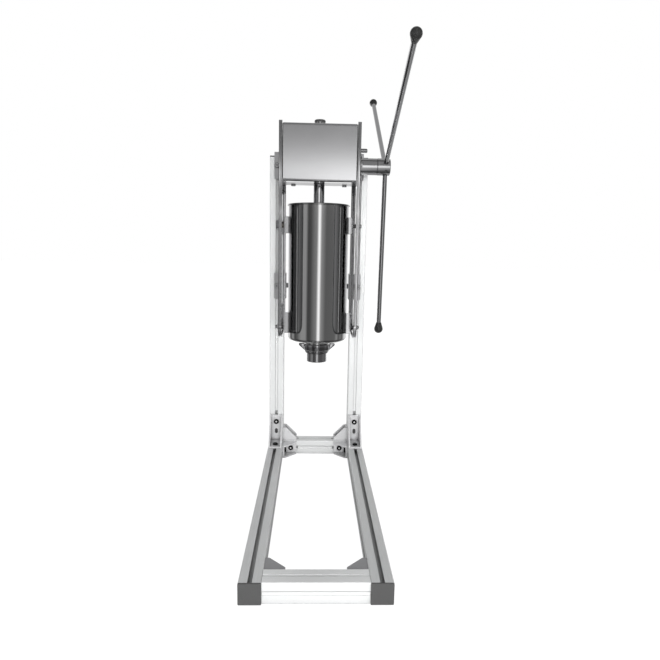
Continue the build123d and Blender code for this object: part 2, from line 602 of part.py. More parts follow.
def knob():
    ball = KNOB_BALL / 2
    neck = KNOB_NECK / 2
    # the cone leaves the ball where both have the same slope
    slope = asin((ball - neck) / KNOB_TAPER)
    leave = (ball * cos(slope), -ball * sin(slope))
    outline = Polyline((0, -KNOB_TAPER), (neck - EDGE, -KNOB_TAPER), (neck, EDGE - KNOB_TAPER), leave)
    outline += ThreePointArc(leave, (ball * cos(pi / 4), ball * sin(pi / 4)), (0, ball))
    outline += Line((0, ball), (0, -KNOB_TAPER))
    body = Pos(0, 0, ARM_LENGTH) * revolve(Plane.XZ * make_face(outline), Axis.Z)
    grip_end = ARM_LENGTH - KNOB_TAPER + KNOB_GRIP
    return body - upright(ARM_SIZE / 2 + FIT, ARM_LENGTH - 2 * KNOB_TAPER, grip_end)


def lever():
    hub = crosswise(HUB_SIZE / 2, HUB_START - ARM_X, HUB_START + HUB_LENGTH - ARM_X, 0, 0)
    hub = chamfer(hub.edges().filter_by(GeomType.CIRCLE), BEVEL)
    hub -= crosswise(SHAFT_SIZE / 2 + FIT, -HUB_LENGTH, HUB_LENGTH, 0, 0)
    arm = upright(ARM_SIZE / 2, ARM_SEAT, ARM_LENGTH - KNOB_TAPER + KNOB_GRIP)
    grub_turn = ARM_ANGLE + 180 / ARM_COUNT
    grub_end = SHAFT_SIZE / 2 + GRUB_LENGTH
    grub = upright(GRUB_SIZE / 2, SHAFT_SIZE / 2 + FIT, grub_end)
    grub_hole = upright(GRUB_SIZE / 2 + FIT, 0, HUB_SIZE)
    across, depth = GRUB_SOCKET
    socket = Pos(0, 0, grub_end - depth) * extrude(RegularPolygon(across / 2, 6), depth)
    hub -= Rot(X=grub_turn) * grub_hole
    for name, turn in zip(("near", "lower", "far"), ARM_TURNS):
        hub -= Rot(X=turn) * arm_hole()
        write("lever_arm_" + name, at_hub(arm, turn))
        write("lever_knob_" + name, at_hub(knob(), turn))
    write("lever_hub", at_hub(hub))
    write("hub_grub_screw", at_hub(grub - socket, grub_turn))


# ---- rod and piston ------------------------------------------------------------------------------
def rack_comb():
    """What is cut from the rod's back: a flat and the spaces between the teeth, in Y and Z."""
    pitch = pi * MODULE
    lean = tan(radians(PRESSURE_ANGLE))
    tip_half = pitch / 4 + MODULE * lean
    root_depth = MODULE + DEDENDUM
    root_half = tip_half - root_depth * lean
    below = int((STROKE + PITCH_RADIUS / 2) / pitch) + 1
    above = int(PITCH_RADIUS / 2 / pitch) + 1
    points = [(ROD_SIZE, -(below + 0.5) * pitch), (RACK_FLAT, -(below + 0.5) * pitch)]
    for space in range(-below, above + 1):
        z = space * pitch
        points += [(RACK_FLAT, z - tip_half), (RACK_FLAT - root_depth, z - root_half)]
        points += [(RACK_FLAT - root_depth, z + root_half), (RACK_FLAT, z + tip_half)]
    points += [(RACK_FLAT, (above + 0.5) * pitch), (ROD_SIZE, (above + 0.5) * pitch)]
    return extrude(Plane.YZ * polygon(*points), ROD_SIZE, both=True)


def rod_and_piston():
    rod = upright(ROD_SIZE / 2, PISTON_TOP, ROD_TOP)
    rod -= Pos(0, 0, SHAFT_HEIGHT) * rack_comb()
    across, nut_height = PISTON_NUT
    plate_low = PISTON_TOP - PISTON_PLATE
    rod += upright(ROD_STUD / 2, plate_low - nut_height, PISTON_TOP)
    side = BORE_RADIUS - PISTON_SIDE
    groove = side - SEAL_DEPTH
    low = PISTON_BOTTOM + SEAL_RISE
    high = low + SEAL_HEIGHT
    recess = PISTON_RECESS / 2
    hole = ROD_STUD / 2 + FIT
    piston = turned((hole, plate_low), (recess, plate_low), (recess, PISTON_BOTTOM),
                    (side - EDGE, PISTON_BOTTOM), (side, PISTON_BOTTOM + EDGE), (side, low), (groove, low),
                    (groove, high), (side, high), (side, PISTON_TOP - EDGE), (side - EDGE, PISTON_TOP),
                    (hole, PISTON_TOP))
    lip = BORE_RADIUS - SLACK
    seal = turned((groove + FIT, low + FIT), (side, low + FIT), (lip, low + SEAL_HEIGHT / 4),
                  (lip, high - SEAL_HEIGHT / 4), (side, high - FIT), (groove + FIT, high - FIT))
    nut = Pos(0, 0, plate_low - nut_height) * hexagon(across, nut_height)
    nut -= upright(hole, 0, PISTON_TOP)
    cap = upright(ROD_SIZE / 2 - SLACK, ROD_TOP, ROD_TOP + TOP_CAP_HEIGHT)
    cap = top_bevel(cap, BEVEL)
    socket, depth = TOP_CAP_SOCKET
    cap -= upright(socket / 2, ROD_TOP + TOP_CAP_HEIGHT - depth, ROD_TOP + 2 * TOP_CAP_HEIGHT)
    for name, piece in (("rack_rod", rod), ("piston", piston), ("piston_seal", seal), ("piston_nut", nut),
                        ("rod_top_cap", cap)):
        write(name, Pos(0, AXIS_Y, 0) * piece)


# ---- cylinder and nozzle -------------------------------------------------------------------------
def cylinder_lug(size, height):
    depth, width, tall = size
    radius = CYLINDER_SIZE / 2
    lug = block(radius - depth, radius + depth, -width / 2, width / 2, height - tall / 2, height + tall / 2)
    lug = chamfer(lug.edges().filter_by(Axis.Y).sort_by(Axis.X)[-2:], depth / 3)
    return lug - upright(radius + FIT, height - tall, height + tall)


def cylinder():
    """A rolled tube with a beaded rim, welded on a pressed base with the outlet."""
    outer = CYLINDER_SIZE / 2
    spout = OUTLET_SIZE / 2
    channel = spout - OUTLET_WALL
    floor = CYLINDER_BOTTOM + CYLINDER_FLOOR
    seam = CYLINDER_BOTTOM + CYLINDER_CORNER
    tube = turned((outer, seam), (outer, CYLINDER_TOP), (BORE_RADIUS, CYLINDER_TOP), (BORE_RADIUS, seam))
    bead = Pos(BORE_RADIUS + RIM_BEAD / 2, CYLINDER_TOP) * Circle(RIM_BEAD / 2)
    write("cylinder", Pos(0, AXIS_Y, 0) * (tube + revolve(Plane.XZ * bead, Axis.Z)))
    flat = (outer - CYLINDER_CORNER, CYLINDER_BOTTOM)
    profile = Polyline(flat, (spout, CYLINDER_BOTTOM), (spout, OUTLET_END), (channel, OUTLET_END),
                       (channel, floor), (BORE_RADIUS, floor), (BORE_RADIUS, seam), (outer, seam))
    profile += RadiusArc((outer, seam), flat, CYLINDER_CORNER)
    write("cylinder_base", Pos(0, AXIS_Y, 0) * revolve(Plane.XZ * make_face(profile), Axis.Z))
    upper = cylinder_lug(LUG, LUG_HEIGHT)
    foot = cylinder_lug(FOOT_LUG, FOOT_LUG_HEIGHT)
    upper -= crosswise(LATCH_PIN / 2 + SLACK, 0, 2 * outer, 0, LUG_HEIGHT)
    foot -= crosswise(PIVOT_SIZE / 2 + FIT, 0, 2 * outer, 0, PIVOT_HEIGHT)
    write("cylinder_upper_lugs", *both_sides(Pos(0, AXIS_Y, 0) * upper))
    write("cylinder_foot_lugs", *both_sides(Pos(0, AXIS_Y, 0) * foot))


def side_bolt(inner_end, z):
    """Bolt through the right-hand column, with its nut and the end of its thread outside."""
    across, height = SIDE_HEX
    outer_end = WEB_OUT + height + SIDE_STUD
    bolt = crosswise(PIVOT_SIZE / 2, inner_end, outer_end, AXIS_Y, z)
    return top_bevel(bolt, EDGE, Axis.X) + Pos(WEB_OUT, AXIS_Y, z) * Rot(Y=90) * hexagon(across, height)


def latch_and_bolts():
    outer = CYLINDER_SIZE / 2
    lug_face = outer + LUG[0]
    write("cylinder_pivot_bolts", *both_sides(side_bolt(outer + FOOT_BOLT_GAP, PIVOT_HEIGHT)))
    write("cylinder_upper_bolt", side_bolt(lug_face - LATCH_BITE, LUG_HEIGHT))
    pin = LATCH_PIN / 2
    wall = pin + LATCH_BUSH_WALL
    reach, thickness = LATCH_BUSH_COLLAR
    collar = WEB_OUT + thickness
    bush = crosswise(wall, lug_face + LUG_GAP, WEB_OUT, AXIS_Y, LUG_HEIGHT)
    bush += crosswise(wall + reach, WEB_OUT, collar, AXIS_Y, LUG_HEIGHT)
    bush -= crosswise(pin + RUNNING, 0, 2 * WEB_OUT, AXIS_Y, LUG_HEIGHT)
    size, length = LATCH_KNOB
    start = collar + SLACK
    end = start + length
    grip = crosswise(size / 2, start, end, AXIS_Y, LUG_HEIGHT)
    grip = chamfer(grip.edges().filter_by(GeomType.CIRCLE), BEVEL)
    for index in range(LATCH_FLUTES):
        turn = 2 * pi * index / LATCH_FLUTES
        y = AXIS_Y + (size / 2 + FLUTE_OFFSET) * sin(turn)
        z = LUG_HEIGHT + (size / 2 + FLUTE_OFFSET) * cos(turn)
        grip -= crosswise(LATCH_FLUTE_SIZE / 2, start - OVERCUT, end + OVERCUT, y, z)
    grip += crosswise(pin, lug_face - LATCH_BITE, start + OVERCUT, AXIS_Y, LUG_HEIGHT)
    write("latch_bush", mirror(bush, Plane.YZ))
    write("latch_knob", mirror(grip, Plane.YZ))


def winged_nut():
    bore = OUTLET_SIZE / 2 + SLACK
    mouth = NOZZLE_SIZE / 2 + SLACK
    seat = NUT_BOTTOM + NOZZLE_LEDGE
    body = turned((bore, seat), (mouth, seat), (mouth, NUT_BOTTOM), (WING_NUT_NECK / 2, NUT_BOTTOM),
                  (WING_NUT_SIZE / 2, NUT_TOP - WING_NUT_RIM), (WING_NUT_SIZE / 2, NUT_TOP), (bore, NUT_TOP))
    inside = bore + OVERCUT
    low = NUT_TOP - WING_DROP
    tip = NUT_TOP - WING_TIP
    reach = WING_SPAN / 2
    wing = Plane.XZ * polygon((inside, NUT_TOP), (reach, NUT_TOP), (reach, tip), (inside, low))
    wing = extrude(wing, WING_THICKNESS / 2, both=True)
    for side in both_sides(wing):
        body += side
    return body - upright(bore, seat, NUT_TOP + OVERCUT)


def star_die(radius):
    outer, inner = (size / 2 for size in STAR_SIZE)
    corners = []
    for index in range(2 * STAR_POINTS):
        turn = pi * index / STAR_POINTS
        reach = inner if index % 2 else outer
        corners.append((reach * cos(turn), reach * sin(turn)))
    return extrude(Circle(radius) - polygon(*corners), DIE_THICKNESS)


def nozzle():
    side = NOZZLE_SIZE / 2
    bore = side - NOZZLE_WALL
    flange = OUTLET_END - NOZZLE_FLANGE
    lip = NOZZLE_BOTTOM + NOZZLE_LIP
    ring = turned((NOZZLE_MOUTH / 2, NOZZLE_BOTTOM), (side - EDGE, NOZZLE_BOTTOM),
                  (side, NOZZLE_BOTTOM + EDGE), (side, flange), (OUTLET_SIZE / 2, flange),
                  (OUTLET_SIZE / 2, OUTLET_END), (bore, OUTLET_END), (bore, lip), (NOZZLE_MOUTH / 2, lip))
    write("nozzle_ring", Pos(0, AXIS_Y, 0) * ring)
    write("star_die", Pos(0, AXIS_Y, lip) * star_die(bore - FIT))
    write("nozzle_nut", Pos(0, AXIS_Y, 0) * winged_nut())


os.makedirs("parts", exist_ok=True)
stand_profiles()
stand_brackets()
mounting_angles()
columns()
head_cover()
head_plates()
rod_guides()
drive()
lever()
rod_and_piston()
cylinder()
latch_and_bolts()
nozzle()

shift = TO_ORIGIN.position
print("shift to the origin", [round(value, 4) for value in (shift.X, shift.Y)])
print("shaft axis at", [round(shift.X + ARM_X, 4), round(shift.Y + SHAFT_Y, 4), SHAFT_HEIGHT])
print("rod axis at", [round(shift.X, 4), round(shift.Y + AXIS_Y, 4)])
print("rod per turn of the lever", round(2 * pi * PITCH_RADIUS, 4), "stroke", STROKE,
      "lever degrees", round(degrees(STROKE / PITCH_RADIUS), 4))
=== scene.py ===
# %% [markdown]
# # A hand-cranked churro press on its stand
#
# The press is a rack and piston in a polished steel cylinder. It hangs between two folded columns,
# in front of a stand of slotted aluminium profile. Everything is in metres, +Z up, with the user
# on the -Y side.

# %% Load the construction
import json
import math
import bpy
from mathutils import Matrix, Vector


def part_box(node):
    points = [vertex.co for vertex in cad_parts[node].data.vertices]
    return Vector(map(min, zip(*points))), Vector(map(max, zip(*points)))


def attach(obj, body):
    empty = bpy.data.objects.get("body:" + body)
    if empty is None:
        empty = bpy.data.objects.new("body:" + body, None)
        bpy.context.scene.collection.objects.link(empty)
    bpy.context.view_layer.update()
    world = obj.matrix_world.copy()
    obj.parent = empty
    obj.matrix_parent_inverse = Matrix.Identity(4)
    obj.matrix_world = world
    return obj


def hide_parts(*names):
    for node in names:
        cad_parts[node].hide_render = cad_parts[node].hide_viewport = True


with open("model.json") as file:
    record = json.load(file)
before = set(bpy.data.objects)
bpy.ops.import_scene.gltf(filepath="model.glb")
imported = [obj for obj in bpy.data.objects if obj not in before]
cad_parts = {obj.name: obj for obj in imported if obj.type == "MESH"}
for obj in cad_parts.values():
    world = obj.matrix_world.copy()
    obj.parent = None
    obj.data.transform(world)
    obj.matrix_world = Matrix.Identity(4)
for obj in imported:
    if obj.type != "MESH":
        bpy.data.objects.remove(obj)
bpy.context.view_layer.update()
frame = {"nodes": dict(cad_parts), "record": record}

MM = 0.001
bpy.ops.object.select_all(action="DESELECT")

# %% [markdown]
# ## Places read from the frame
#
# A new piece is placed by the construction's own boxes. Typed coordinates would do as well, but a
# place that is read from its neighbour stays right when the construction changes.

# %% Centres and edges
def middle(node):
    low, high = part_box(node)
    return (low + high) / 2


PRESS_X = middle("cylinder").x
AXIS_Y = middle("cylinder").y
COVER_LOW, COVER_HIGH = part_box("head_cover")
CYLINDER_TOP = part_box("cylinder")[1].z
print("press axis", round(PRESS_X, 4), round(AXIS_Y, 4))

# %% [markdown]
# ## Shared effects
#
# Four effects serve more than one material, so each is a node group, built once and given its own
# values in every material. Copying the nodes into each material would look the same, but a change
# would then have to be made many times.
#
# Brushed and rolled metal has fine lines in one direction. A picture of scratches could be wrapped
# round each piece; a noise that is squeezed along two axes and long along the third needs no
# picture and no unwrapping, and serves sheet, rod and profile, each with its own direction.

# %% Directional grain
def new_group(name, inputs, outputs):
    group = bpy.data.node_groups.new(name, "ShaderNodeTree")
    for title, kind, value in inputs:
        socket = group.interface.new_socket(title, in_out="INPUT", socket_type=kind)
        socket.default_value = value
    for title, kind in outputs:
        group.interface.new_socket(title, in_out="OUTPUT", socket_type=kind)
    return group, group.nodes.new("NodeGroupInput"), group.nodes.new("NodeGroupOutput")


def grain_group():
    group, source, sink = new_group(
        "directional grain",
        [("Squeeze", "NodeSocketVector", (1, 1, 1)), ("Scale", "NodeSocketFloat", 400.0)],
        [("Grain", "NodeSocketFloat")])
    place = group.nodes.new("ShaderNodeTexCoord")
    squeeze = group.nodes.new("ShaderNodeVectorMath")
    squeeze.operation = "MULTIPLY"
    noise = group.nodes.new("ShaderNodeTexNoise")
    noise.inputs["Detail"].default_value = 3.0
    group.links.new(place.outputs["Object"], squeeze.inputs[0])
    group.links.new(source.outputs["Squeeze"], squeeze.inputs[1])
    group.links.new(squeeze.outputs[0], noise.inputs["Vector"])
    group.links.new(source.outputs["Scale"], noise.inputs["Scale"])
    group.links.new(noise.outputs["Fac"], sink.inputs["Grain"])
    return group


GRAIN = grain_group()
print("node group", GRAIN.name)

# %% [markdown]
# Fingers and washing leave bright steel a little duller in slow, soft patches. They are seen in the
# gloss and hardly in the colour, so this group gives a level of roughness between two values.

# %% Smudges
def smudge_group():
    group, source, sink = new_group(
        "smudges",
        [("Scale", "NodeSocketFloat", 14.0), ("Low", "NodeSocketFloat", 0.0),
         ("High", "NodeSocketFloat", 1.0)],
        [("Level", "NodeSocketFloat")])
    place = group.nodes.new("ShaderNodeTexCoord")
    noise = group.nodes.new("ShaderNodeTexNoise")
    noise.inputs["Detail"].default_value = 5.0
    noise.inputs["Roughness"].default_value = 0.6
    level = group.nodes.new("ShaderNodeMapRange")
    level.inputs["From Min"].default_value = 0.3
    level.inputs["From Max"].default_value = 0.7
    group.links.new(place.outputs["Object"], noise.inputs["Vector"])
    group.links.new(source.outputs["Scale"], noise.inputs["Scale"])
    group.links.new(noise.outputs["Fac"], level.inputs["Value"])
    group.links.new(source.outputs["Low"], level.inputs["To Min"])
    group.links.new(source.outputs["High"], level.inputs["To Max"])
    group.links.new(level.outputs[0], sink.inputs["Level"])
    return group


SMUDGES = smudge_group()
print("node group", SMUDGES.name)

# %% [markdown]
# Edges wear bright where hands and tools touch them. They could be painted by hand; comparing the
# true normal with a rounded one finds them all, because the two differ only near an edge.

# %% Worn edges
def edge_group():
    group, source, sink = new_group(
        "worn edges", [("Amount", "NodeSocketFloat", 1.0)], [("Edge", "NodeSocketFloat")])
    rounded = group.nodes.new("ShaderNodeBevel")
    rounded.samples = 4
    rounded.inputs["Radius"].default_value = 0.6 * MM
    true = group.nodes.new("ShaderNodeNewGeometry")
    match = group.nodes.new("ShaderNodeVectorMath")
    match.operation = "DOT_PRODUCT"
    edge = group.nodes.new("ShaderNodeMapRange")
    edge.inputs["From Min"].default_value = 1.0
    edge.inputs["From Max"].default_value = 0.8
    group.links.new(rounded.outputs["Normal"], match.inputs[0])
    group.links.new(true.outputs["Normal"], match.inputs[1])
    group.links.new(match.outputs["Value"], edge.inputs["Value"])
    group.links.new(source.outputs["Amount"], edge.inputs["To Max"])
    group.links.new(edge.outputs[0], sink.inputs["Edge"])
    return group


EDGES = edge_group()
print("node group", EDGES.name)

# %% [markdown]
# Slots, seams and corners get painted shade: their colour is darkened where little light reaches
# them. How much of the sky a point sees tells where they are, over a short reach.

# %% Crevices
def crevice_group():
    group, source, sink = new_group(
        "crevices",
        [("Reach", "NodeSocketFloat", 0.012), ("Amount", "NodeSocketFloat", 1.0)],
        [("Depth", "NodeSocketFloat")])
    near = group.nodes.new("ShaderNodeAmbientOcclusion")
    near.samples = 6
    near.only_local = False
    depth = group.nodes.new("ShaderNodeMapRange")
    depth.inputs["From Min"].default_value = 0.75
    depth.inputs["From Max"].default_value = 0.15
    group.links.new(source.outputs["Reach"], near.inputs["Distance"])
    group.links.new(near.outputs["AO"], depth.inputs["Value"])
    group.links.new(source.outputs["Amount"], depth.inputs["To Max"])
    group.links.new(depth.outputs[0], sink.inputs["Depth"])
    return group


CREVICES = crevice_group()
print("node groups", len(bpy.data.node_groups))

# %% [markdown]
# ## Finishes
#
# The press is nearly all metal, with a few moulded plastics. Every finish could be wired by hand;
# two makers, one for each kind, keep the wiring in one place and leave only values to choose.
#
# Both need a few directions, a colour of painted shade, and helpers that start a material and mix
# colours.

# %% Directions, shade colour and small helpers
LINE_SQUEEZE = 0.02
ACROSS_X = (LINE_SQUEEZE, 1.0, 1.0)      # the lines run along X
ALONG_Y = (1.0, LINE_SQUEEZE, 1.0)
UPRIGHT_Z = (1.0, 1.0, LINE_SQUEEZE)
EVEN = (1.0, 1.0, 1.0)
# Near black, the colour of the painted shade in slots, seams and corners.
CREVICE_SHADE_COLOUR = (0.02, 0.02, 0.02, 1)


def start_material(name):
    material = bpy.data.materials.new(name)
    material.use_nodes = True
    return material, material.node_tree, material.node_tree.nodes["Principled BSDF"]


def add_group(tree, group, **values):
    node = tree.nodes.new("ShaderNodeGroup")
    node.node_tree = group
    for title, value in values.items():
        node.inputs[title].default_value = value
    return node


def blend(tree, factor, first, second, kind="MIX"):
    """Mix two colours. Each of the three is a socket or a plain value."""
    mix = tree.nodes.new("ShaderNodeMix")
    mix.data_type = "RGBA"
    mix.blend_type = kind
    for title, value in (("Factor", factor), ("A", first), ("B", second)):
        if isinstance(value, bpy.types.NodeSocket):
            tree.links.new(value, mix.inputs[title])
        else:
            mix.inputs[title].default_value = value
    return mix.outputs["Result"]


def shades(colour, shade):
    """The dark and the full form of a colour, for the two ends of the grain."""
    return (*(channel * shade for channel in colour), 1), (*colour, 1)


# %% [markdown]
# A metal gets its colour from the alloy, its roughness from how it was worked, and lines along the
# direction in which the tool or the roller ran. A folded sheet also gets soft folds, from a normal
# that is rounded over some millimetres, because the construction's folds are sharp.

# %% Maker of a metal
def metal(name, colour, rough, lines=EVEN, scale=500.0, relief=0.02, shade=0.85, worn=0.0,
          metallic=1.0, crevice_shade=0.0, reach=0.012, fold=0.0, smudge=0.15):
    """Metal with grain: the deep lines are a shade darker than the high ones."""
    material, tree, shader = start_material(name)
    grain = add_group(tree, GRAIN, Squeeze=lines, Scale=scale)
    smudges = add_group(tree, SMUDGES, Low=rough * (1 - smudge), High=rough * (1 + smudge))
    tint = blend(tree, grain.outputs["Grain"], *shades(colour, shade))
    if worn:
        edges = add_group(tree, EDGES, Amount=worn)
        bright = (*(min(1.0, channel * 1.35 + 0.05) for channel in colour), 1)
        tint = blend(tree, edges.outputs["Edge"], tint, bright)
    # Painted shade: the colour darkens towards near black in slots, seams and corners.
    if crevice_shade:
        deep = add_group(tree, CREVICES, Amount=crevice_shade, Reach=reach)
        tint = blend(tree, deep.outputs["Depth"], tint, CREVICE_SHADE_COLOUR)
    bump = tree.nodes.new("ShaderNodeBump")
    bump.inputs["Strength"].default_value = 1.0
    bump.inputs["Distance"].default_value = relief * MM
    if fold:
        edge = tree.nodes.new("ShaderNodeBevel")
        edge.samples = 8
        edge.inputs["Radius"].default_value = fold * MM
        tree.links.new(edge.outputs["Normal"], bump.inputs["Normal"])
    tree.links.new(grain.outputs["Grain"], bump.inputs["Height"])
    tree.links.new(bump.outputs["Normal"], shader.inputs["Normal"])
    tree.links.new(tint, shader.inputs["Base Color"])
    tree.links.new(smudges.outputs["Level"], shader.inputs["Roughness"])
    shader.inputs["Metallic"].default_value = metallic
    return material


# %% [markdown]
# A moulded plastic has no lines: it takes the fine, even texture of its mould and a softer gloss.

# %% Maker of a plastic
def plastic(name, colour, rough, scale=900.0, relief=0.05, shade=0.8):
    """Moulded plastic or rubber: a fine even texture from the mould."""
    material, tree, shader = start_material(name)
    grain = add_group(tree, GRAIN, Squeeze=EVEN, Scale=scale)
    smudges = add_group(tree, SMUDGES, Low=rough * 0.8, High=rough * 1.2)
    tint = blend(tree, grain.outputs["Grain"], *shades(colour, shade))
    bump = tree.nodes.new("ShaderNodeBump")
    bump.inputs["Distance"].default_value = relief * MM
    tree.links.new(grain.outputs["Grain"], bump.inputs["Height"])
    tree.links.new(bump.outputs["Normal"], shader.inputs["Normal"])
    tree.links.new(tint, shader.inputs["Base Color"])
    tree.links.new(smudges.outputs["Level"], shader.inputs["Roughness"])
    return material


# %% [markdown]
# One finish serves each slot of the record, under the slot's own name.

# %% Finishes by slot
FINISHES = {
    "profile": metal("clear anodised profile", (0.84, 0.85, 0.85), 0.34, EVEN, relief=0.01, shade=0.94,
                     metallic=0.4, crevice_shade=1.0, reach=0.02),
    "black_cap": plastic("moulded end cap", (0.075, 0.075, 0.075), 0.45),
    "cast_bracket": metal("blasted die casting", (0.80, 0.80, 0.81), 0.42, EVEN, 700, 0.06, 0.8,
                          worn=0.5, metallic=0.4, crevice_shade=0.9),
    "fastener": metal("zinc plated screws", (0.58, 0.58, 0.59), 0.28, EVEN, 900, 0.02, 0.7,
                      worn=0.6, crevice_shade=0.9, reach=0.006),
    "plate_steel": metal("rolled plate", (0.60, 0.60, 0.61), 0.30, ACROSS_X, crevice_shade=0.6),
    "column_steel": metal("polished column sheet", (0.64, 0.64, 0.65), 0.05, UPRIGHT_Z, 700, 0.002, 0.94,
                          crevice_shade=0.8, reach=0.02, fold=3.2, smudge=0.1),
    "cover_steel": metal("satin cover sheet", (0.66, 0.66, 0.67), 0.14, ACROSS_X, 700, 0.0015, 0.96,
                         smudge=0.06),
    "cylinder_steel": metal("polished cylinder", (0.66, 0.66, 0.66), 0.09, UPRIGHT_Z, 500, 0.003, 0.94,
                            smudge=0.1),
    "lug_steel": metal("ground lugs", (0.70, 0.70, 0.71), 0.16, EVEN, 600, 0.02, 0.8, worn=0.6, crevice_shade=0.9,
                       fold=1.2),
    "turned_steel": metal("turned bright steel", (0.62, 0.62, 0.63), 0.10, UPRIGHT_Z, 600, 0.004, 0.9,
                          crevice_shade=0.6),
    "gear_steel": metal("hobbed steel", (0.42, 0.42, 0.43), 0.3, ACROSS_X, 600, 0.02, 0.8),
    "black_knob": plastic("black knob", (0.025, 0.025, 0.025), 0.28, 700, 0.01),
    "nylon": plastic("white nylon", (0.82, 0.82, 0.79), 0.5),
    "bronze": metal("bearing bronze", (0.66, 0.44, 0.20), 0.32, EVEN, 500, 0.02, 0.85),
    "seal": plastic("food silicone", (0.72, 0.72, 0.70), 0.55),
    "piston_steel": metal("turned piston", (0.62, 0.62, 0.63), 0.22, EVEN, 600, 0.01, 0.9),
    "rod_cap": plastic("black rod insert", (0.06, 0.06, 0.06), 0.4),
    "nozzle_steel": metal("polished nozzle", (0.50, 0.50, 0.51), 0.12, EVEN, 600, 0.01, 0.85, crevice_shade=0.9),
}
print("finishes", len(FINISHES))

# %% [markdown]
# A few nodes look different from the rest of their slot and get a finish of their own: the rails
# are darker, a painted shade of their tops, the rack rod is chromed, the bracket screws are black,
# the corner brackets at the front are darker, a painted shade, and the slots of posts and crossbars
# get less painted crevice shade, so they stay pale. Then every node of the construction gets its finish.

# %% Own finishes, and a finish for every node
# The rails' darker colour is painted shade of their tops; the lines along Y are their grain.
SHADED_RAIL_FINISH = metal("rail profile, drawn, with painted shade", (0.70, 0.71, 0.71), 0.38, ALONG_Y, 900, 0.02, 0.8,
                    metallic=0.4, crevice_shade=0.5, reach=0.02)
RACK_FINISH = metal("hard chromed rack rod", (0.88, 0.88, 0.89), 0.07, UPRIGHT_Z, 600, 0.002, 0.92,
                    crevice_shade=0.5)
# The corner brackets' darker colour is painted shade.
SHADED_CORNER_CASTING = metal("die casting of the corners, with painted shade", (0.36, 0.36, 0.37), 0.45, EVEN, 700, 0.06, 0.8,
                      worn=0.8, metallic=0.4, crevice_shade=0.9)
DEEP_BLACK = plastic("black post cap", (0.010, 0.010, 0.010), 0.5)
TARNISHED = metal("tarnished latch bush", (0.40, 0.38, 0.34), 0.35, EVEN, 500, 0.02, 0.85)
BLACK_SCREW = metal("blackened bracket screws", (0.035, 0.035, 0.037), 0.26, EVEN, 900, 0.02, 0.7,
                    worn=0.5)
# Less painted crevice shade keeps these slots pale.
SHADED_PROFILE = metal("clear anodised profile, pale slots", (0.84, 0.85, 0.85), 0.34, EVEN, relief=0.01,
                       shade=0.94, metallic=0.4, crevice_shade=0.45, reach=0.02)
slots = {part["node"]: part["material_slot"] for part in frame["record"]["subparts"]}
OWN_FINISH = {"rail_left": SHADED_RAIL_FINISH, "rail_right": SHADED_RAIL_FINISH, "latch_bush": TARNISHED,
              "rack_rod": RACK_FINISH, "post_top_caps": DEEP_BLACK,
              "front_corner_brackets": SHADED_CORNER_CASTING, "bracket_screws": BLACK_SCREW,
              "post_left": SHADED_PROFILE, "post_right": SHADED_PROFILE,
              "front_crossbar": SHADED_PROFILE, "rear_crossbar": SHADED_PROFILE}
for name, node in frame["nodes"].items():
    node.data.materials.clear()
    node.data.materials.append(OWN_FINISH.get(name, FINISHES[slots[name]]))
print("nodes with a finish", len(slots), "of them with their own", len(OWN_FINISH))

# %% [markdown]
# ## Tools of the bench
#
# Every new piece starts as a primitive, is shaped by edit-mode operators and ends with its place in
# its mesh. An operator acts on all that is selected, so each helper first chooses what it works on.

# %% Start, choose, freeze, modify and join
def start(primitive, **values):
    bpy.ops.object.select_all(action="DESELECT")
    primitive(**values)
    return bpy.context.active_object


def choose(piece):
    bpy.ops.object.select_all(action="DESELECT")
    piece.select_set(True)
    bpy.context.view_layer.objects.active = piece


def freeze(piece):
    choose(piece)
    bpy.ops.object.transform_apply(location=True, rotation=True, scale=True)


def add_modifier(piece, kind, **values):
    choose(piece)
    modifier = piece.modifiers.new(kind.lower(), kind)
    for name, value in values.items():
        setattr(modifier, name, value)
    bpy.ops.object.modifier_apply(modifier=modifier.name)


def join_up(pieces):
    choose(pieces[0])
    for piece in pieces:
        piece.select_set(True)
    bpy.ops.object.join()
    return pieces[0]


# %% [markdown]
# A finished piece is seated: its place goes into its mesh, its faces are smoothed, it gets the
# finish of its slot, and it rides on its body, so that it moves when that body moves.

# %% Seat a piece
def seat(piece, name, body, slot, finish=None, angle=35):
    """Finish a piece and hang it on its body. Faces under the angle, in degrees, are smooth."""
    piece.name = name
    piece.data.name = name
    freeze(piece)
    bpy.ops.object.shade_smooth_by_angle(angle=math.radians(angle))
    piece.data.materials.clear()
    piece.data.materials.append(finish or FINISHES[slot])
    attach(piece, body)
    print(name, len(piece.data.polygons), "faces")
    return piece


# %% [markdown]
# A turned piece could be spun from a drawn profile. Here it is made the way a lathe hand thinks of
# it, as a list of stations: a ring is pulled from one radius and height to the next. The list then
# reads like the shop's drawing, and a closed list gives a closed solid.

# %% Turn a piece from its stations
def turn_piece(stations, vertices=96, x=PRESS_X, y=AXIS_Y):
    """Stations are (radius, height) in millimetres, round an upright axis."""
    radius, height = stations[0]
    piece = start(bpy.ops.mesh.primitive_circle_add, vertices=vertices, radius=radius * MM,
                  location=(x, y, height * MM), fill_type="NOTHING")
    freeze(piece)
    bpy.ops.object.mode_set(mode="EDIT")
    bpy.ops.mesh.select_all(action="SELECT")
    for (r0, z0), (r1, z1) in zip(stations, stations[1:]):
        bpy.ops.mesh.extrude_region_move(TRANSFORM_OT_translate={"value": (0, 0, (z1 - z0) * MM)})
        bpy.ops.transform.resize(value=(r1 / r0, r1 / r0, 1), center_override=(x, y, z1 * MM))
    bpy.ops.mesh.select_all(action="SELECT")
    bpy.ops.mesh.remove_doubles(threshold=0.00001)
    bpy.ops.mesh.normals_make_consistent(inside=False)
    bpy.ops.object.mode_set(mode="OBJECT")
    return piece


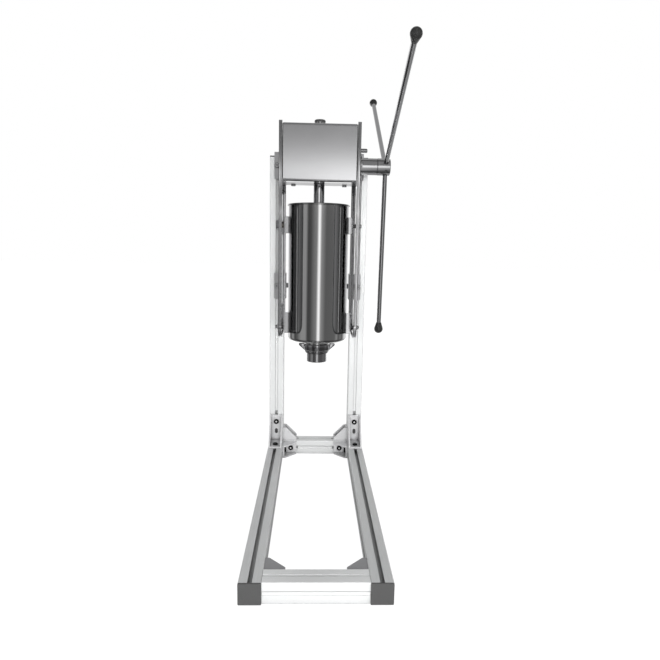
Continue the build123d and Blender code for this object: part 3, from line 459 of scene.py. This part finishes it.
def arc_stations(radius, height, bend, first, last, steps):
    """Stations on an arc round (radius, height), from one angle in degrees to another."""
    points = []
    for index in range(steps + 1):
        angle = math.radians(first + (last - first) * index / steps)
        points.append((radius + bend * math.cos(angle), height + bend * math.sin(angle)))
    return points


# %% [markdown]
# ## The cylinder
#
# The barrel is a rolled tube with a beaded rim, and its base is pressed from sheet, so the corner
# between wall and floor is a soft bend. Bevelled cylinders could stand for both, but the rim and
# the bend are seen as curved reflections, so they are turned, with arcs of stations for the curves.

# %% Rolled tube and pressed base
BARREL = 76.0                    # outer radius
SHEET = 1.5
RIM_BEAD = 2.3                   # radius of the rolled rim
RIM_OPEN = -110.4                # degrees where the rolled rim meets the wall again
CORNER = 8.5                     # bend between wall and floor
SPOUT, SPOUT_BORE, SPOUT_LONG = 28.3, 25.0, 28.0
SEAM_HIGH = 10.0                 # of the joint of tube and base above the floor's underside
FLOOR_SHEET = 2.0
CHAMFER = 0.8
ROUND_SIDES = 160
BARREL_IN = BARREL - SHEET
BARREL_TOP = CYLINDER_TOP / MM - RIM_BEAD
FLOOR_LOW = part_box("cylinder_base")[0].z / MM + SPOUT_LONG
SPOUT_END = FLOOR_LOW - SPOUT_LONG
FLOOR_TOP = FLOOR_LOW + FLOOR_SHEET
SEAM = FLOOR_LOW + SEAM_HIGH
rim = arc_stations(BARREL_IN + RIM_BEAD, BARREL_TOP, RIM_BEAD, 180, RIM_OPEN, 18)
tube = turn_piece([(BARREL_IN, SEAM)] + rim + [(BARREL, SEAM), (BARREL_IN, SEAM)], ROUND_SIDES)
seat(tube, "rolled_tube", "frame", "cylinder_steel")
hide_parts("cylinder")

bend = arc_stations(BARREL - CORNER, FLOOR_LOW + CORNER, CORNER, -90, 0, 12)
base = turn_piece(
    [(SPOUT_BORE, SPOUT_END), (SPOUT - CHAMFER, SPOUT_END), (SPOUT, SPOUT_END + CHAMFER),
     (SPOUT, FLOOR_LOW)]
    + bend + [(BARREL, SEAM), (BARREL_IN, SEAM), (BARREL_IN, FLOOR_TOP + FLOOR_SHEET),
              (BARREL_IN - FLOOR_SHEET, FLOOR_TOP), (SPOUT_BORE, FLOOR_TOP),
              (SPOUT_BORE, SPOUT_END)], ROUND_SIDES)
seat(base, "pressed_base", "frame", "cylinder_steel")
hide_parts("cylinder_base")

# %% [markdown]
# The outlet is cut with a coarse thread for the winged nut, 4 mm a turn. Rings would look much the
# same from afar; a screw modifier carries a small triangle round and up, which leaves a true helix
# that catches the light in slanted lines and fits the travel of the nut.

# %% Thread of the outlet
THREAD_DEPTH, THREAD_PITCH = 0.5, 4.0
THREAD_OUT = 0.4                         # of the tooth's middle outside the core, in depths
THREAD_LEAD, THREAD_STOP = 2.0, 1.0      # plain ends of the outlet, below and above the thread


def thread(radius, depth, pitch, low, high):
    """A helical ridge round the press's axis, its foot a little inside the core."""
    tooth = start(bpy.ops.mesh.primitive_circle_add, vertices=3, radius=depth * MM,
                  location=((radius + THREAD_OUT * depth) * MM, 0, low * MM),
                  rotation=(math.pi / 2, math.pi / 2, 0), fill_type="NOTHING")
    freeze(tooth)
    turns = int((high - low) / pitch)
    add_modifier(tooth, "SCREW", axis="Z", screw_offset=pitch * MM, iterations=turns, steps=64,
                 render_steps=64)
    choose(tooth)
    bpy.ops.object.mode_set(mode="EDIT")
    bpy.ops.mesh.select_all(action="DESELECT")
    bpy.ops.mesh.select_non_manifold()
    bpy.ops.mesh.fill_holes(sides=3)
    bpy.ops.mesh.select_all(action="SELECT")
    bpy.ops.mesh.normals_make_consistent(inside=False)
    bpy.ops.object.mode_set(mode="OBJECT")
    tooth.location = (PRESS_X, AXIS_Y, 0)
    return tooth


helix = thread(SPOUT, THREAD_DEPTH, THREAD_PITCH, SPOUT_END + THREAD_LEAD, FLOOR_LOW - THREAD_STOP)
seat(helix, "outlet_thread", "frame", "cylinder_steel")

# %% [markdown]
# ## The winged nut
#
# A cast nut of this kind narrows towards the nozzle in turned steps, and its two wings are thick in
# the middle and round at every edge, so that a hand can strike them. The body is turned with the
# steps as stations. A wing could be sculpted; a block whose lower outer edge is pulled up and that
# is then bevelled wide has the same soft form and far fewer faces.

# %% Stepped body with round wings
NUT_LOW, NUT_HIGH = (end.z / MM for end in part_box("nozzle_nut"))
NUT_BORE, NUT_MOUTH, NUT_FLOOR = 29.2, 26.2, 4.0
WING_IN, WING_OUT, WING_THICK = 31.0, 47.5, 8.0
WING_FOOT, WING_TIP = 5.0, 5.0      # start above the nut's end, and height left at the tip
WING_ROUND = 2.4
# (radius, height above the nut's end) of the turned outside
NUT_STEPS = [(28.5, 0), (29.7, 0.8), (29.9, 2.4), (31.2, 3.4), (31.3, 5.2), (32.8, 6.4),
             (32.9, 8.4), (34.3, 9.8), (34.5, 12.2), (35.0, 13.4), (35.0, 23.6), (34.0, 25.0)]
body = turn_piece([(NUT_MOUTH, NUT_LOW)]
                  + [(radius, NUT_LOW + height) for radius, height in NUT_STEPS]
                  + [(NUT_BORE, NUT_HIGH), (NUT_BORE, NUT_LOW + NUT_FLOOR),
                     (NUT_MOUTH, NUT_LOW + NUT_FLOOR), (NUT_MOUTH, NUT_LOW)], 128)


def wing(side):
    low, high = NUT_LOW + WING_FOOT, NUT_HIGH
    middle_x = PRESS_X + side * (WING_IN + WING_OUT) / 2 * MM
    piece = start(bpy.ops.mesh.primitive_cube_add, size=1.0,
                  location=(middle_x, AXIS_Y, (low + high) / 2 * MM),
                  scale=((WING_OUT - WING_IN) * MM, WING_THICK * MM, (high - low) * MM))
    freeze(piece)
    bpy.ops.object.mode_set(mode="EDIT")
    bpy.ops.mesh.select_all(action="DESELECT")      # unmarks edges and faces too
    bpy.ops.object.mode_set(mode="OBJECT")
    for vertex in piece.data.vertices:
        vertex.select = vertex.co.z < (low + 1) * MM and (vertex.co.x - middle_x) * side > 0
    bpy.ops.object.mode_set(mode="EDIT")
    bpy.ops.transform.translate(value=(0, 0, (high - low - WING_TIP) * MM))
    bpy.ops.object.mode_set(mode="OBJECT")
    add_modifier(piece, "BEVEL", width=WING_ROUND * MM, segments=5, limit_method="NONE")
    return piece


nut = join_up([body, wing(-1), wing(1)])
seat(nut, "stepped_winged_nut", "winged_nut", "nozzle_steel", angle=30)
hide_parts("nozzle_nut")

# %% [markdown]
# ## Weld beads
#
# The lugs are welded to the cylinder down both sides. A weld is a row of small overlapping pools.
# A rod with a bumpy surface could stand for it; one squashed ball, repeated by an array modifier
# with a step shorter than its width, has the ripples of the real bead in its outline too.

# %% Beads down the sides of the lugs
POOL_RADIUS, POOL_OUT = 1.7, 0.3      # of one weld pool, and how far outside the lug it lies
POOL_FLAT = 0.75                      # height of a pool, and step to the next, in radii
LUG_WIDTHS = {"cylinder_upper_lugs": 26.0, "cylinder_foot_lugs": 34.0}


def weld_seam(x, y, low, high, size=POOL_RADIUS):
    pool = start(bpy.ops.mesh.primitive_uv_sphere_add, segments=14, ring_count=8, radius=size * MM,
                 location=(x, y, low + size * MM), scale=(1, 1, POOL_FLAT))
    freeze(pool)
    step = POOL_FLAT * size * MM
    count = int((high - low - 2 * size * MM) / step)
    add_modifier(pool, "ARRAY", count=count, use_relative_offset=False, use_constant_offset=True,
                 constant_offset_displace=(0, 0, step))
    return pool


seams = []
for node, width in LUG_WIDTHS.items():
    lug_low, lug_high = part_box(node)
    reach = math.sqrt(BARREL ** 2 - (width / 2) ** 2) * MM
    for side in (-1, 1):
        for front in (-1, 1):
            place = (PRESS_X + side * (reach + POOL_OUT * MM),
                     AXIS_Y + front * (width / 2 + POOL_OUT) * MM)
            seams.append(weld_seam(*place, lug_low.z, lug_high.z))
seat(join_up(seams), "lug_welds", "frame", "lug_steel", angle=60)

# %% [markdown]
# ## Bright sockets
#
# The bracket screws are black, but the key wears the finish off the bottom of their sockets. The
# screws all lie in one node of the construction, and look different ways. Their places could be
# typed; it is safer to find them in the node, as its loose bodies: the long way of a body is the
# screw's axis, and its wide end is the head.

# %% Find the screws and their heads
def loose_bodies(node):
    """The corners of each loose body of a CAD node, whose triangles share no vertices."""
    keys = [tuple(round(value, 6) for value in vertex.co) for vertex in node.data.vertices]
    parent = {key: key for key in keys}

    def root(key):
        while parent[key] != key:
            parent[key] = parent[parent[key]]
            key = parent[key]
        return key

    for polygon in node.data.polygons:
        first = root(keys[polygon.vertices[0]])
        for index in polygon.vertices[1:]:
            parent[root(keys[index])] = first
    bodies = {}
    for key in parent:
        bodies.setdefault(root(key), []).append(Vector(key))
    return list(bodies.values())


HEAD_REACH = 5.5      # only the head has corners this far from the axis


def head_of(corners):
    """Centre of a screw's head face, and the direction in which it looks."""
    low = Vector(min(c[i] for c in corners) for i in range(3))
    high = Vector(max(c[i] for c in corners) for i in range(3))
    size = high - low
    axis = max(range(3), key=lambda i: size[i])
    centre = (low + high) / 2
    others = [i for i in range(3) if i != axis]
    side = 0.0
    for corner in corners:
        away = max(abs(corner[i] - centre[i]) for i in others)
        side += (corner[axis] - centre[axis]) * (away > HEAD_REACH * MM)
    direction = Vector((0, 0, 0))
    direction[axis] = 1.0 if side > 0 else -1.0
    face = centre.copy()
    face[axis] = high[axis] if side > 0 else low[axis]
    return face, direction


screws = [head_of(corners) for corners in loose_bodies(frame["nodes"]["bracket_screws"])]
print("bracket screws", len(screws))

# %% [markdown]
# A small six-sided plate, as wide as the socket, goes to the bottom of each one.

# %% Plates in the sockets
SOCKET_DEPTH = 2.6
SOCKET_RADIUS, PLATE_THICK, PLATE_EDGE = 2.75, 0.3, 0.08
PLATE_LIFT = 0.16     # of the plate's middle above the bottom of the socket
plates = []
for face, direction in screws:
    plate = start(bpy.ops.mesh.primitive_cylinder_add, vertices=6, radius=SOCKET_RADIUS * MM,
                  depth=PLATE_THICK * MM)
    bpy.ops.object.mode_set(mode="EDIT")
    bpy.ops.mesh.select_all(action="SELECT")
    bpy.ops.mesh.bevel(offset=PLATE_EDGE * MM, segments=2, affect="EDGES")
    bpy.ops.object.mode_set(mode="OBJECT")
    plate.rotation_euler = direction.to_track_quat("Z", "Y").to_euler()
    plate.location = face - direction * (SOCKET_DEPTH - PLATE_LIFT) * MM
    freeze(plate)
    plates.append(plate)
SOCKET_BRIGHT = metal("socket worn bright", (0.85, 0.85, 0.85), 0.35, EVEN, 900, 0.01, 0.9,
                      metallic=0.3)
seat(join_up(plates), "worn_sockets", "frame", "fastener", SOCKET_BRIGHT)

# %% [markdown]
# ## Slot strips
#
# The slots of the posts and crossbars that face the user look pale in the photograph. That is read
# here as a strip in each of them, which would keep dough out. A lighter finish inside the slots
# would lose their edges; a strip that lies a little below the face, with a gap beside it, gives the
# pale field and also the shadow line that is seen at the slot's edge. Its shallow groove is inset.

# %% One slot strip
SLOT_MOUTH = 8.2
STRIP_INSET, STRIP_DEPTH, STRIP_EDGE = 0.5, 3.2, 0.25
GROOVE_EDGE, GROOVE_DEPTH = 1.2, 0.5
LOOK_FRONT, LOOK_UP = Vector((0, -1, 0)), Vector((0, 0, 1))


def slot_strip(low, high, look):
    """Strip from one corner to the other, with a shallow groove in the face that looks that way."""
    size = Vector(high) - Vector(low)
    strip = start(bpy.ops.mesh.primitive_cube_add, size=1.0, location=(Vector(low) + Vector(high)) / 2,
                  scale=size)
    freeze(strip)
    bpy.ops.object.mode_set(mode="EDIT")
    bpy.ops.mesh.select_all(action="DESELECT")
    bpy.ops.mesh.select_mode(type="FACE")
    bpy.ops.object.mode_set(mode="OBJECT")
    for polygon in strip.data.polygons:
        polygon.select = polygon.normal.dot(look) > 0.9
    bpy.ops.object.mode_set(mode="EDIT")
    bpy.ops.mesh.inset(thickness=GROOVE_EDGE * MM, depth=-GROOVE_DEPTH * MM)
    bpy.ops.mesh.select_all(action="SELECT")
    bpy.ops.mesh.bevel(offset=STRIP_EDGE * MM, segments=2, affect="EDGES")
    bpy.ops.mesh.select_mode(type="VERT")
    bpy.ops.object.mode_set(mode="OBJECT")
    return strip


# %% [markdown]
# A post has one strip on its front, between the big bracket and the mounting angles. A crossbar has
# one on its front and one on its top, and the rear one's are shorter because brackets stand there.

# %% Strips of the posts and the crossbars
STRIP_GAP, STRIP_CLEAR = 1.3, 0.1      # at the upper and the lower side of a level strip
STRIP_ABOVE, STRIP_BELOW = 12.0, 2.0   # room above the big brackets and below the mounting angles
# Room left at the ends of a crossbar's strips, on its front and on its top.
BAR_ENDS = {"front_crossbar": (0.3 * MM, 0.3 * MM), "rear_crossbar": (42 * MM, 45 * MM)}
half = SLOT_MOUTH / 2 * MM
gap, clear = STRIP_GAP * MM, STRIP_CLEAR * MM
bracket_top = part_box("post_foot_brackets")[1].z
angle_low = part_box("mounting_angles_left")[0].z
strips = []
for name in ("post_left", "post_right"):
    low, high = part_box(name)
    x = (low.x + high.x) / 2
    front = low.y + STRIP_INSET * MM
    strips.append(slot_strip((x - half + gap / 2, front, bracket_top + STRIP_ABOVE * MM),
                             (x + half - gap / 2, front + STRIP_DEPTH * MM,
                              angle_low - STRIP_BELOW * MM), LOOK_FRONT))
for name, (end, top_end) in BAR_ENDS.items():
    low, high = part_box(name)
    z = (low.z + high.z) / 2
    y = (low.y + high.y) / 2
    front = low.y + STRIP_INSET * MM
    strips.append(slot_strip((low.x + end, front, z - half + clear),
                             (high.x - end, front + STRIP_DEPTH * MM, z + half - gap), LOOK_FRONT))
    top = high.z - STRIP_INSET * MM
    strips.append(slot_strip((low.x + top_end, y - half + gap, top - STRIP_DEPTH * MM),
                             (high.x - top_end, y + half - clear, top), LOOK_UP))
STRIP_FINISH = metal("anodised slot strip", (0.80, 0.81, 0.81), 0.3, EVEN, 700, 0.01, 0.9,
                     metallic=0.35)
seat(join_up(strips), "slot_strips", "frame", "profile", STRIP_FINISH)

# %% [markdown]
# ## Painted shade in the spare holes
#
# The spare oblong hole in each big bracket looks straight into the post's slot and is black in the
# photograph. A small black block in the slot behind each hole is painted shade: it gives that black
# and leaves the construction's own hole and slot as they are.

# %% Black blocks behind the spare holes, as painted shade
SHADE_BLOCK_LONG, SHADE_BLOCK_THICK, SHADE_BLOCK_BACK, SHADE_BLOCK_EDGE = 24.0, 3.0, 0.2, 0.6
OBLONG_UP = 31.0      # of the spare hole's middle above the bracket's foot


# Painted shade: a black block, seen through the spare hole.
def slot_shade_block(post):
    low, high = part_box(post)
    x = (low.x + high.x) / 2
    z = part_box("post_foot_brackets")[0].z + OBLONG_UP * MM
    shade_block = start(bpy.ops.mesh.primitive_cube_add, size=1.0,
                  location=(x, low.y + (SHADE_BLOCK_BACK + SHADE_BLOCK_THICK / 2) * MM, z),
                  scale=((SLOT_MOUTH - 2 * STRIP_CLEAR) * MM, SHADE_BLOCK_THICK * MM, SHADE_BLOCK_LONG * MM))
    freeze(shade_block)
    add_modifier(shade_block, "BEVEL", width=SHADE_BLOCK_EDGE * MM, segments=3, limit_method="NONE")
    return shade_block


shade_blocks = join_up([slot_shade_block("post_left"), slot_shade_block("post_right")])
seat(shade_blocks, "slot_shade_blocks", "frame", "black_cap")

# %% [markdown]
# ## Rolled beads on the columns
#
# The front edge of each column shows fine parallel lines all the way up, one light and one dark in
# turn. They are read as three shallow beads, rolled into the sheet before it was folded. A bump
# could fake them, but the steel mirrors its surroundings, and only a real curve bends those into
# lines. Each bead is a slim rod sunk in the flange, with round ends.

# %% Beads of the columns
BEAD_RADIUS, BEAD_EDGE = 0.95, 0.7
BEAD_PLACES = (1.0, 4.3, 7.0)     # from the outer side of the flange
BEAD_SUNK = 0.35                  # of its centre behind the flange's face
BEAD_START, BEAD_STOP = 31.0, 3.0  # from the column's lower and upper ends


def column_bead(node, side, place):
    low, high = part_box(node)
    outer = low.x if side < 0 else high.x
    bottom, top = low.z + BEAD_START * MM, high.z - BEAD_STOP * MM
    bead = start(bpy.ops.mesh.primitive_cylinder_add, vertices=24, radius=BEAD_RADIUS * MM,
                 depth=top - bottom,
                 location=(outer - side * place * MM, low.y + BEAD_SUNK * MM, (bottom + top) / 2))
    freeze(bead)
    add_modifier(bead, "BEVEL", width=BEAD_EDGE * MM, segments=3, limit_method="ANGLE")
    return bead


beads = [column_bead(node, side, place)
         for node, side in (("column_left", -1), ("column_right", 1)) for place in BEAD_PLACES]
seat(join_up(beads), "column_beads", "frame", "column_steel", angle=40)

# %% [markdown]
# ## Shadow gaps beside the cover
#
# The cover ends a little inside the two columns, and the dark inside of the head shows as a fine
# line on each side. A slim black block in each gap, a little behind the cover's face, paints that shade.

# %% Painted shade in the gaps
GAP_SHADE_WIDE, GAP_SHADE_DEEP, GAP_SHADE_EDGE = 1.7, 9.0, 0.5
GAP_SHADE_BACK = 1.2                  # behind the cover's face
GAP_SHADE_UP, GAP_SHADE_SHORT = 3.0, 10.0  # its middle above the cover's, and how much shorter it is


# Painted shade: a slim black block standing in the gap beside the cover.
def gap_shade(side):
    edge = COVER_HIGH.x if side > 0 else COVER_LOW.x
    wide, deep = GAP_SHADE_WIDE * MM, GAP_SHADE_DEEP * MM
    gap_block = start(bpy.ops.mesh.primitive_cube_add, size=1.0,
                 location=(edge + side * wide / 2, COVER_LOW.y + GAP_SHADE_BACK * MM + deep / 2,
                           (COVER_LOW.z + COVER_HIGH.z) / 2 + GAP_SHADE_UP * MM),
                 scale=(wide, deep, COVER_HIGH.z - COVER_LOW.z - GAP_SHADE_SHORT * MM))
    freeze(gap_block)
    add_modifier(gap_block, "BEVEL", width=GAP_SHADE_EDGE * MM, segments=3, limit_method="NONE")
    return gap_block


seat(join_up([gap_shade(-1), gap_shade(1)]), "cover_gap_shade", "frame", "black_cap")

# %% [markdown]
# ## The studio
#
# The press stands on a plain white floor. One that only glows would swallow the press's shadow, and
# a matt one would look grey, so the camera sees a mix of both.

# %% Floor
FLOOR_SIZE = 30.0
FLOOR_GREY, FLOOR_SHOWN, FLOOR_GLOW = 0.9, 0.9, 1.1      # colour, share of glow seen, its strength


def stage_material(name, colour, shown):
    """Matt surface that the camera sees as near white, and that still takes shadows."""
    material, tree, shader = start_material(name)
    shader.inputs["Base Color"].default_value = (colour, colour, colour, 1)
    shader.inputs["Roughness"].default_value = 0.9
    shader.inputs["Specular IOR Level"].default_value = 0.0
    glow = tree.nodes.new("ShaderNodeEmission")
    glow.inputs["Color"].default_value = (1, 1, 1, 1)
    glow.inputs["Strength"].default_value = FLOOR_GLOW
    path = tree.nodes.new("ShaderNodeLightPath")
    share = tree.nodes.new("ShaderNodeMath")
    share.operation = "MULTIPLY"
    share.inputs[1].default_value = shown
    mix = tree.nodes.new("ShaderNodeMixShader")
    tree.links.new(path.outputs["Is Camera Ray"], share.inputs[0])
    tree.links.new(share.outputs[0], mix.inputs["Fac"])
    tree.links.new(shader.outputs["BSDF"], mix.inputs[1])
    tree.links.new(glow.outputs["Emission"], mix.inputs[2])
    tree.links.new(mix.outputs["Shader"], tree.nodes["Material Output"].inputs["Surface"])
    return material


bpy.ops.mesh.primitive_plane_add(size=FLOOR_SIZE, location=(0, 0, 0))
floor = bpy.context.active_object
floor.name = "studio_floor"
floor.data.materials.append(stage_material("white floor", FLOOR_GREY, FLOOR_SHOWN))
floor.visible_glossy = False      # mirrors show the studio's bands instead
print(floor.name, FLOOR_SIZE, "m wide")

# %% [markdown]
# Polished steel shows its surroundings, so the world is a small studio for glossy rays: a bright
# strip beside the camera, grey walls and black flags. Real cards and lamps could stand round the
# press, but they would throw shadows and show in the views from behind; bands of brightness by
# direction do neither. There are two sets of bands. The low ones are what the upright cylinder
# mirrors, the high ones stand above the camera and light the cover, and fall off upwards.

# %% Bands of the studio
# Degrees to the left (-) or right (+) of the camera's side, and brightness.
LOW_BANDS = [
    (-180, 1.0), (-145, 1.0), (-128, 0.06), (-110, 0.40), (-98, 0.08), (-84, 0.14), (-66, 0.36),
    (-48, 0.36), (-39, 0.07), (-28, 0.09), (-13, 0.24), (-5, 0.28), (4, 1.6), (12, 0.36), (30, 0.14),
    (72, 0.16), (83, 0.34), (93, 0.12), (104, 0.24), (118, 0.14), (136, 0.90), (180, 1.0)]
HIGH_BANDS = [
    (-180, 1.7), (-140, 1.7), (-125, 0.25), (-105, 0.9), (-92, 0.2), (-76, 0.25), (-60, 0.8), (-46, 0.7),
    (-36, 0.15), (-24, 0.3), (-14, 0.9), (-6, 0.92), (6, 1.12), (16, 1.25), (26, 0.4), (36, 0.15),
    (52, 0.7), (66, 0.8), (80, 0.2), (96, 0.25), (108, 0.9), (125, 0.25), (140, 1.7), (180, 1.7)]
# Degrees above the horizon, and the share of the bands' brightness.
HIGH_FALL = [(-90, 2.1), (6.9, 2.1), (7.6, 1.45), (8.3, 0.82), (9.0, 0.48), (10.0, 0.35),
             (11.5, 0.31), (16.0, 0.3), (40.0, 0.24), (90, 0.22)]
LOW_FALL = [(-90, 0.35), (-22, 0.42), (-13, 1.0), (90, 1.0)]
LOW_TOP, HIGH_START = 6.1, 6.8      # where one set of bands turns into the other
print("bands", len(LOW_BANDS), "and", len(HIGH_BANDS))

# %% [markdown]
# A band is a stop of a colour ramp, read by the direction of the ray: its turn round the press
# picks the stop, and its rise above the horizon picks the set.

# %% Small helpers of the world
def ramp(tree, stops, factor):
    """Colour ramp from (place, brightness) pairs."""
    node = tree.nodes.new("ShaderNodeValToRGB")
    elements = node.color_ramp.elements
    elements[0].position, elements[0].color = stops[0][0], (stops[0][1],) * 3 + (1,)
    elements[1].position, elements[1].color = stops[-1][0], (stops[-1][1],) * 3 + (1,)
    for place, level in stops[1:-1]:
        elements.new(place).color = (level,) * 3 + (1,)
    tree.links.new(factor, node.inputs["Fac"])
    return node.outputs["Color"]


def calculate(tree, operation, first, second=None):
    node = tree.nodes.new("ShaderNodeMath")
    node.operation = operation
    for socket, value in zip(node.inputs, (first, second)):
        if isinstance(value, (int, float)):
            socket.default_value = value
        elif value is not None:
            tree.links.new(value, socket)
    return node.outputs[0]


def around(bands):
    return [((angle + 180) / 360, level) for angle, level in bands]


def upward(stops):
    return [((angle + 90) / 180, level) for angle, level in stops]


# %% [markdown]
# The three kinds of ray are told apart at the end: glossy rays meet the bands, the camera sees
# plain white, and all others get a soft, even light.

# %% World
SOFT_LIGHT = 0.5


def studio_world():
    world = bpy.data.worlds.new("studio")
    world.use_nodes = True
    tree = world.node_tree
    backdrop = tree.nodes["Background"]
    backdrop.inputs["Color"].default_value = (1, 1, 1, 1)
    direction = tree.nodes.new("ShaderNodeTexCoord").outputs["Generated"]
    split = tree.nodes.new("ShaderNodeSeparateXYZ")
    tree.links.new(direction, split.inputs[0])
    toward = calculate(tree, "MULTIPLY", split.outputs["Y"], -1.0)
    turn = calculate(tree, "ARCTAN2", split.outputs["X"], toward)
    share = calculate(tree, "ADD", calculate(tree, "DIVIDE", turn, 2 * math.pi), 0.5)
    rise = calculate(tree, "ARCSINE", split.outputs["Z"])
    height = calculate(tree, "ADD", calculate(tree, "DIVIDE", rise, math.pi), 0.5)
    low = ramp(tree, around(LOW_BANDS), share)
    low = blend(tree, 1.0, low, ramp(tree, upward(LOW_FALL), height), "MULTIPLY")
    high = ramp(tree, around(HIGH_BANDS), share)
    high = blend(tree, 1.0, high, ramp(tree, upward(HIGH_FALL), height), "MULTIPLY")
    step = ramp(tree, upward([(-90, 0.0), (LOW_TOP, 0.0), (HIGH_START, 1.0), (90, 1.0)]), height)
    studio = blend(tree, step, low, high)
    mirror = tree.nodes.new("ShaderNodeBackground")
    tree.links.new(studio, mirror.inputs["Color"])
    soft = tree.nodes.new("ShaderNodeBackground")
    soft.inputs["Color"].default_value = (1, 1, 1, 1)
    soft.inputs["Strength"].default_value = SOFT_LIGHT
    path = tree.nodes.new("ShaderNodeLightPath")
    glossy = tree.nodes.new("ShaderNodeMixShader")
    shown = tree.nodes.new("ShaderNodeMixShader")
    tree.links.new(path.outputs["Is Glossy Ray"], glossy.inputs["Fac"])
    tree.links.new(soft.outputs[0], glossy.inputs[1])
    tree.links.new(mirror.outputs[0], glossy.inputs[2])
    tree.links.new(path.outputs["Is Camera Ray"], shown.inputs["Fac"])
    tree.links.new(glossy.outputs[0], shown.inputs[1])
    tree.links.new(backdrop.outputs[0], shown.inputs[2])
    tree.links.new(shown.outputs[0], tree.nodes["World Output"].inputs["Surface"])
    return world


bpy.context.scene.world = studio_world()
print("world", bpy.context.scene.world.name)

# %% [markdown]
# The photograph has soft light from the front. A sun lamp would give hard shadows, so one large
# soft lamp stands in front, and two weak ones to the right and behind lift the shadows.

# %% Lamps
def soft_lamp(name, place, target, size, power):
    bpy.ops.object.light_add(type="AREA", location=place)
    lamp = bpy.context.active_object
    lamp.name = name
    lamp.data.size = size
    lamp.data.energy = power
    lamp.visible_glossy = False      # mirrors show the studio's bands instead
    lamp.rotation_euler = (Vector(target) - Vector(place)).to_track_quat("-Z", "Y").to_euler()
    return lamp


LAMP_TARGET = (PRESS_X, AXIS_Y, 0.4)
soft_lamp("front_lamp", (0.1, -3.0, 0.6), LAMP_TARGET, 1.2, 90)
soft_lamp("right_lamp", (2.4, -1.4, 1.6), LAMP_TARGET, 1.2, 18)
soft_lamp("back_lamp", (-1.0, 2.6, 2.0), LAMP_TARGET, 1.6, 12)
print("lamps", len(bpy.data.lights))

# %% [markdown]
# ## The camera
#
# The photograph is taken from the front, at 0.6 m above the floor and less than a metre from the
# stand's front end, and looks slightly down. The camera was fitted to the stand, the columns, the
# cylinder and the arms, and its roll of about one degree comes from that fit. It could be aimed by
# a constraint; its turn, tilt and roll are given as angles, as the fit found them.

# %% Camera
CAMERA_PLACE = (-0.0379, -1.3316, 0.6011)
CAMERA_TURN = 0.0331       # radians to the right of +Y
CAMERA_DOWN = 0.1523
CAMERA_ROLL = 0.0186
CAMERA_LENS = 29.77

bpy.ops.object.camera_add(location=CAMERA_PLACE)
camera = bpy.context.active_object
camera.data.lens = CAMERA_LENS
camera.data.sensor_width = 36.0
ahead = Vector((math.sin(CAMERA_TURN) * math.cos(CAMERA_DOWN),
                math.cos(CAMERA_TURN) * math.cos(CAMERA_DOWN), -math.sin(CAMERA_DOWN)))
level_right = Vector((math.cos(CAMERA_TURN), -math.sin(CAMERA_TURN), 0))
level_up = level_right.cross(ahead)
right = level_right * math.cos(CAMERA_ROLL) + level_up * math.sin(CAMERA_ROLL)
up = level_up * math.cos(CAMERA_ROLL) - level_right * math.sin(CAMERA_ROLL)
camera.rotation_euler = Matrix((right, up, -ahead)).transposed().to_euler()
bpy.context.scene.camera = camera
bpy.context.scene.view_settings.view_transform = "Standard"
print("camera at", CAMERA_PLACE, "lens", CAMERA_LENS)
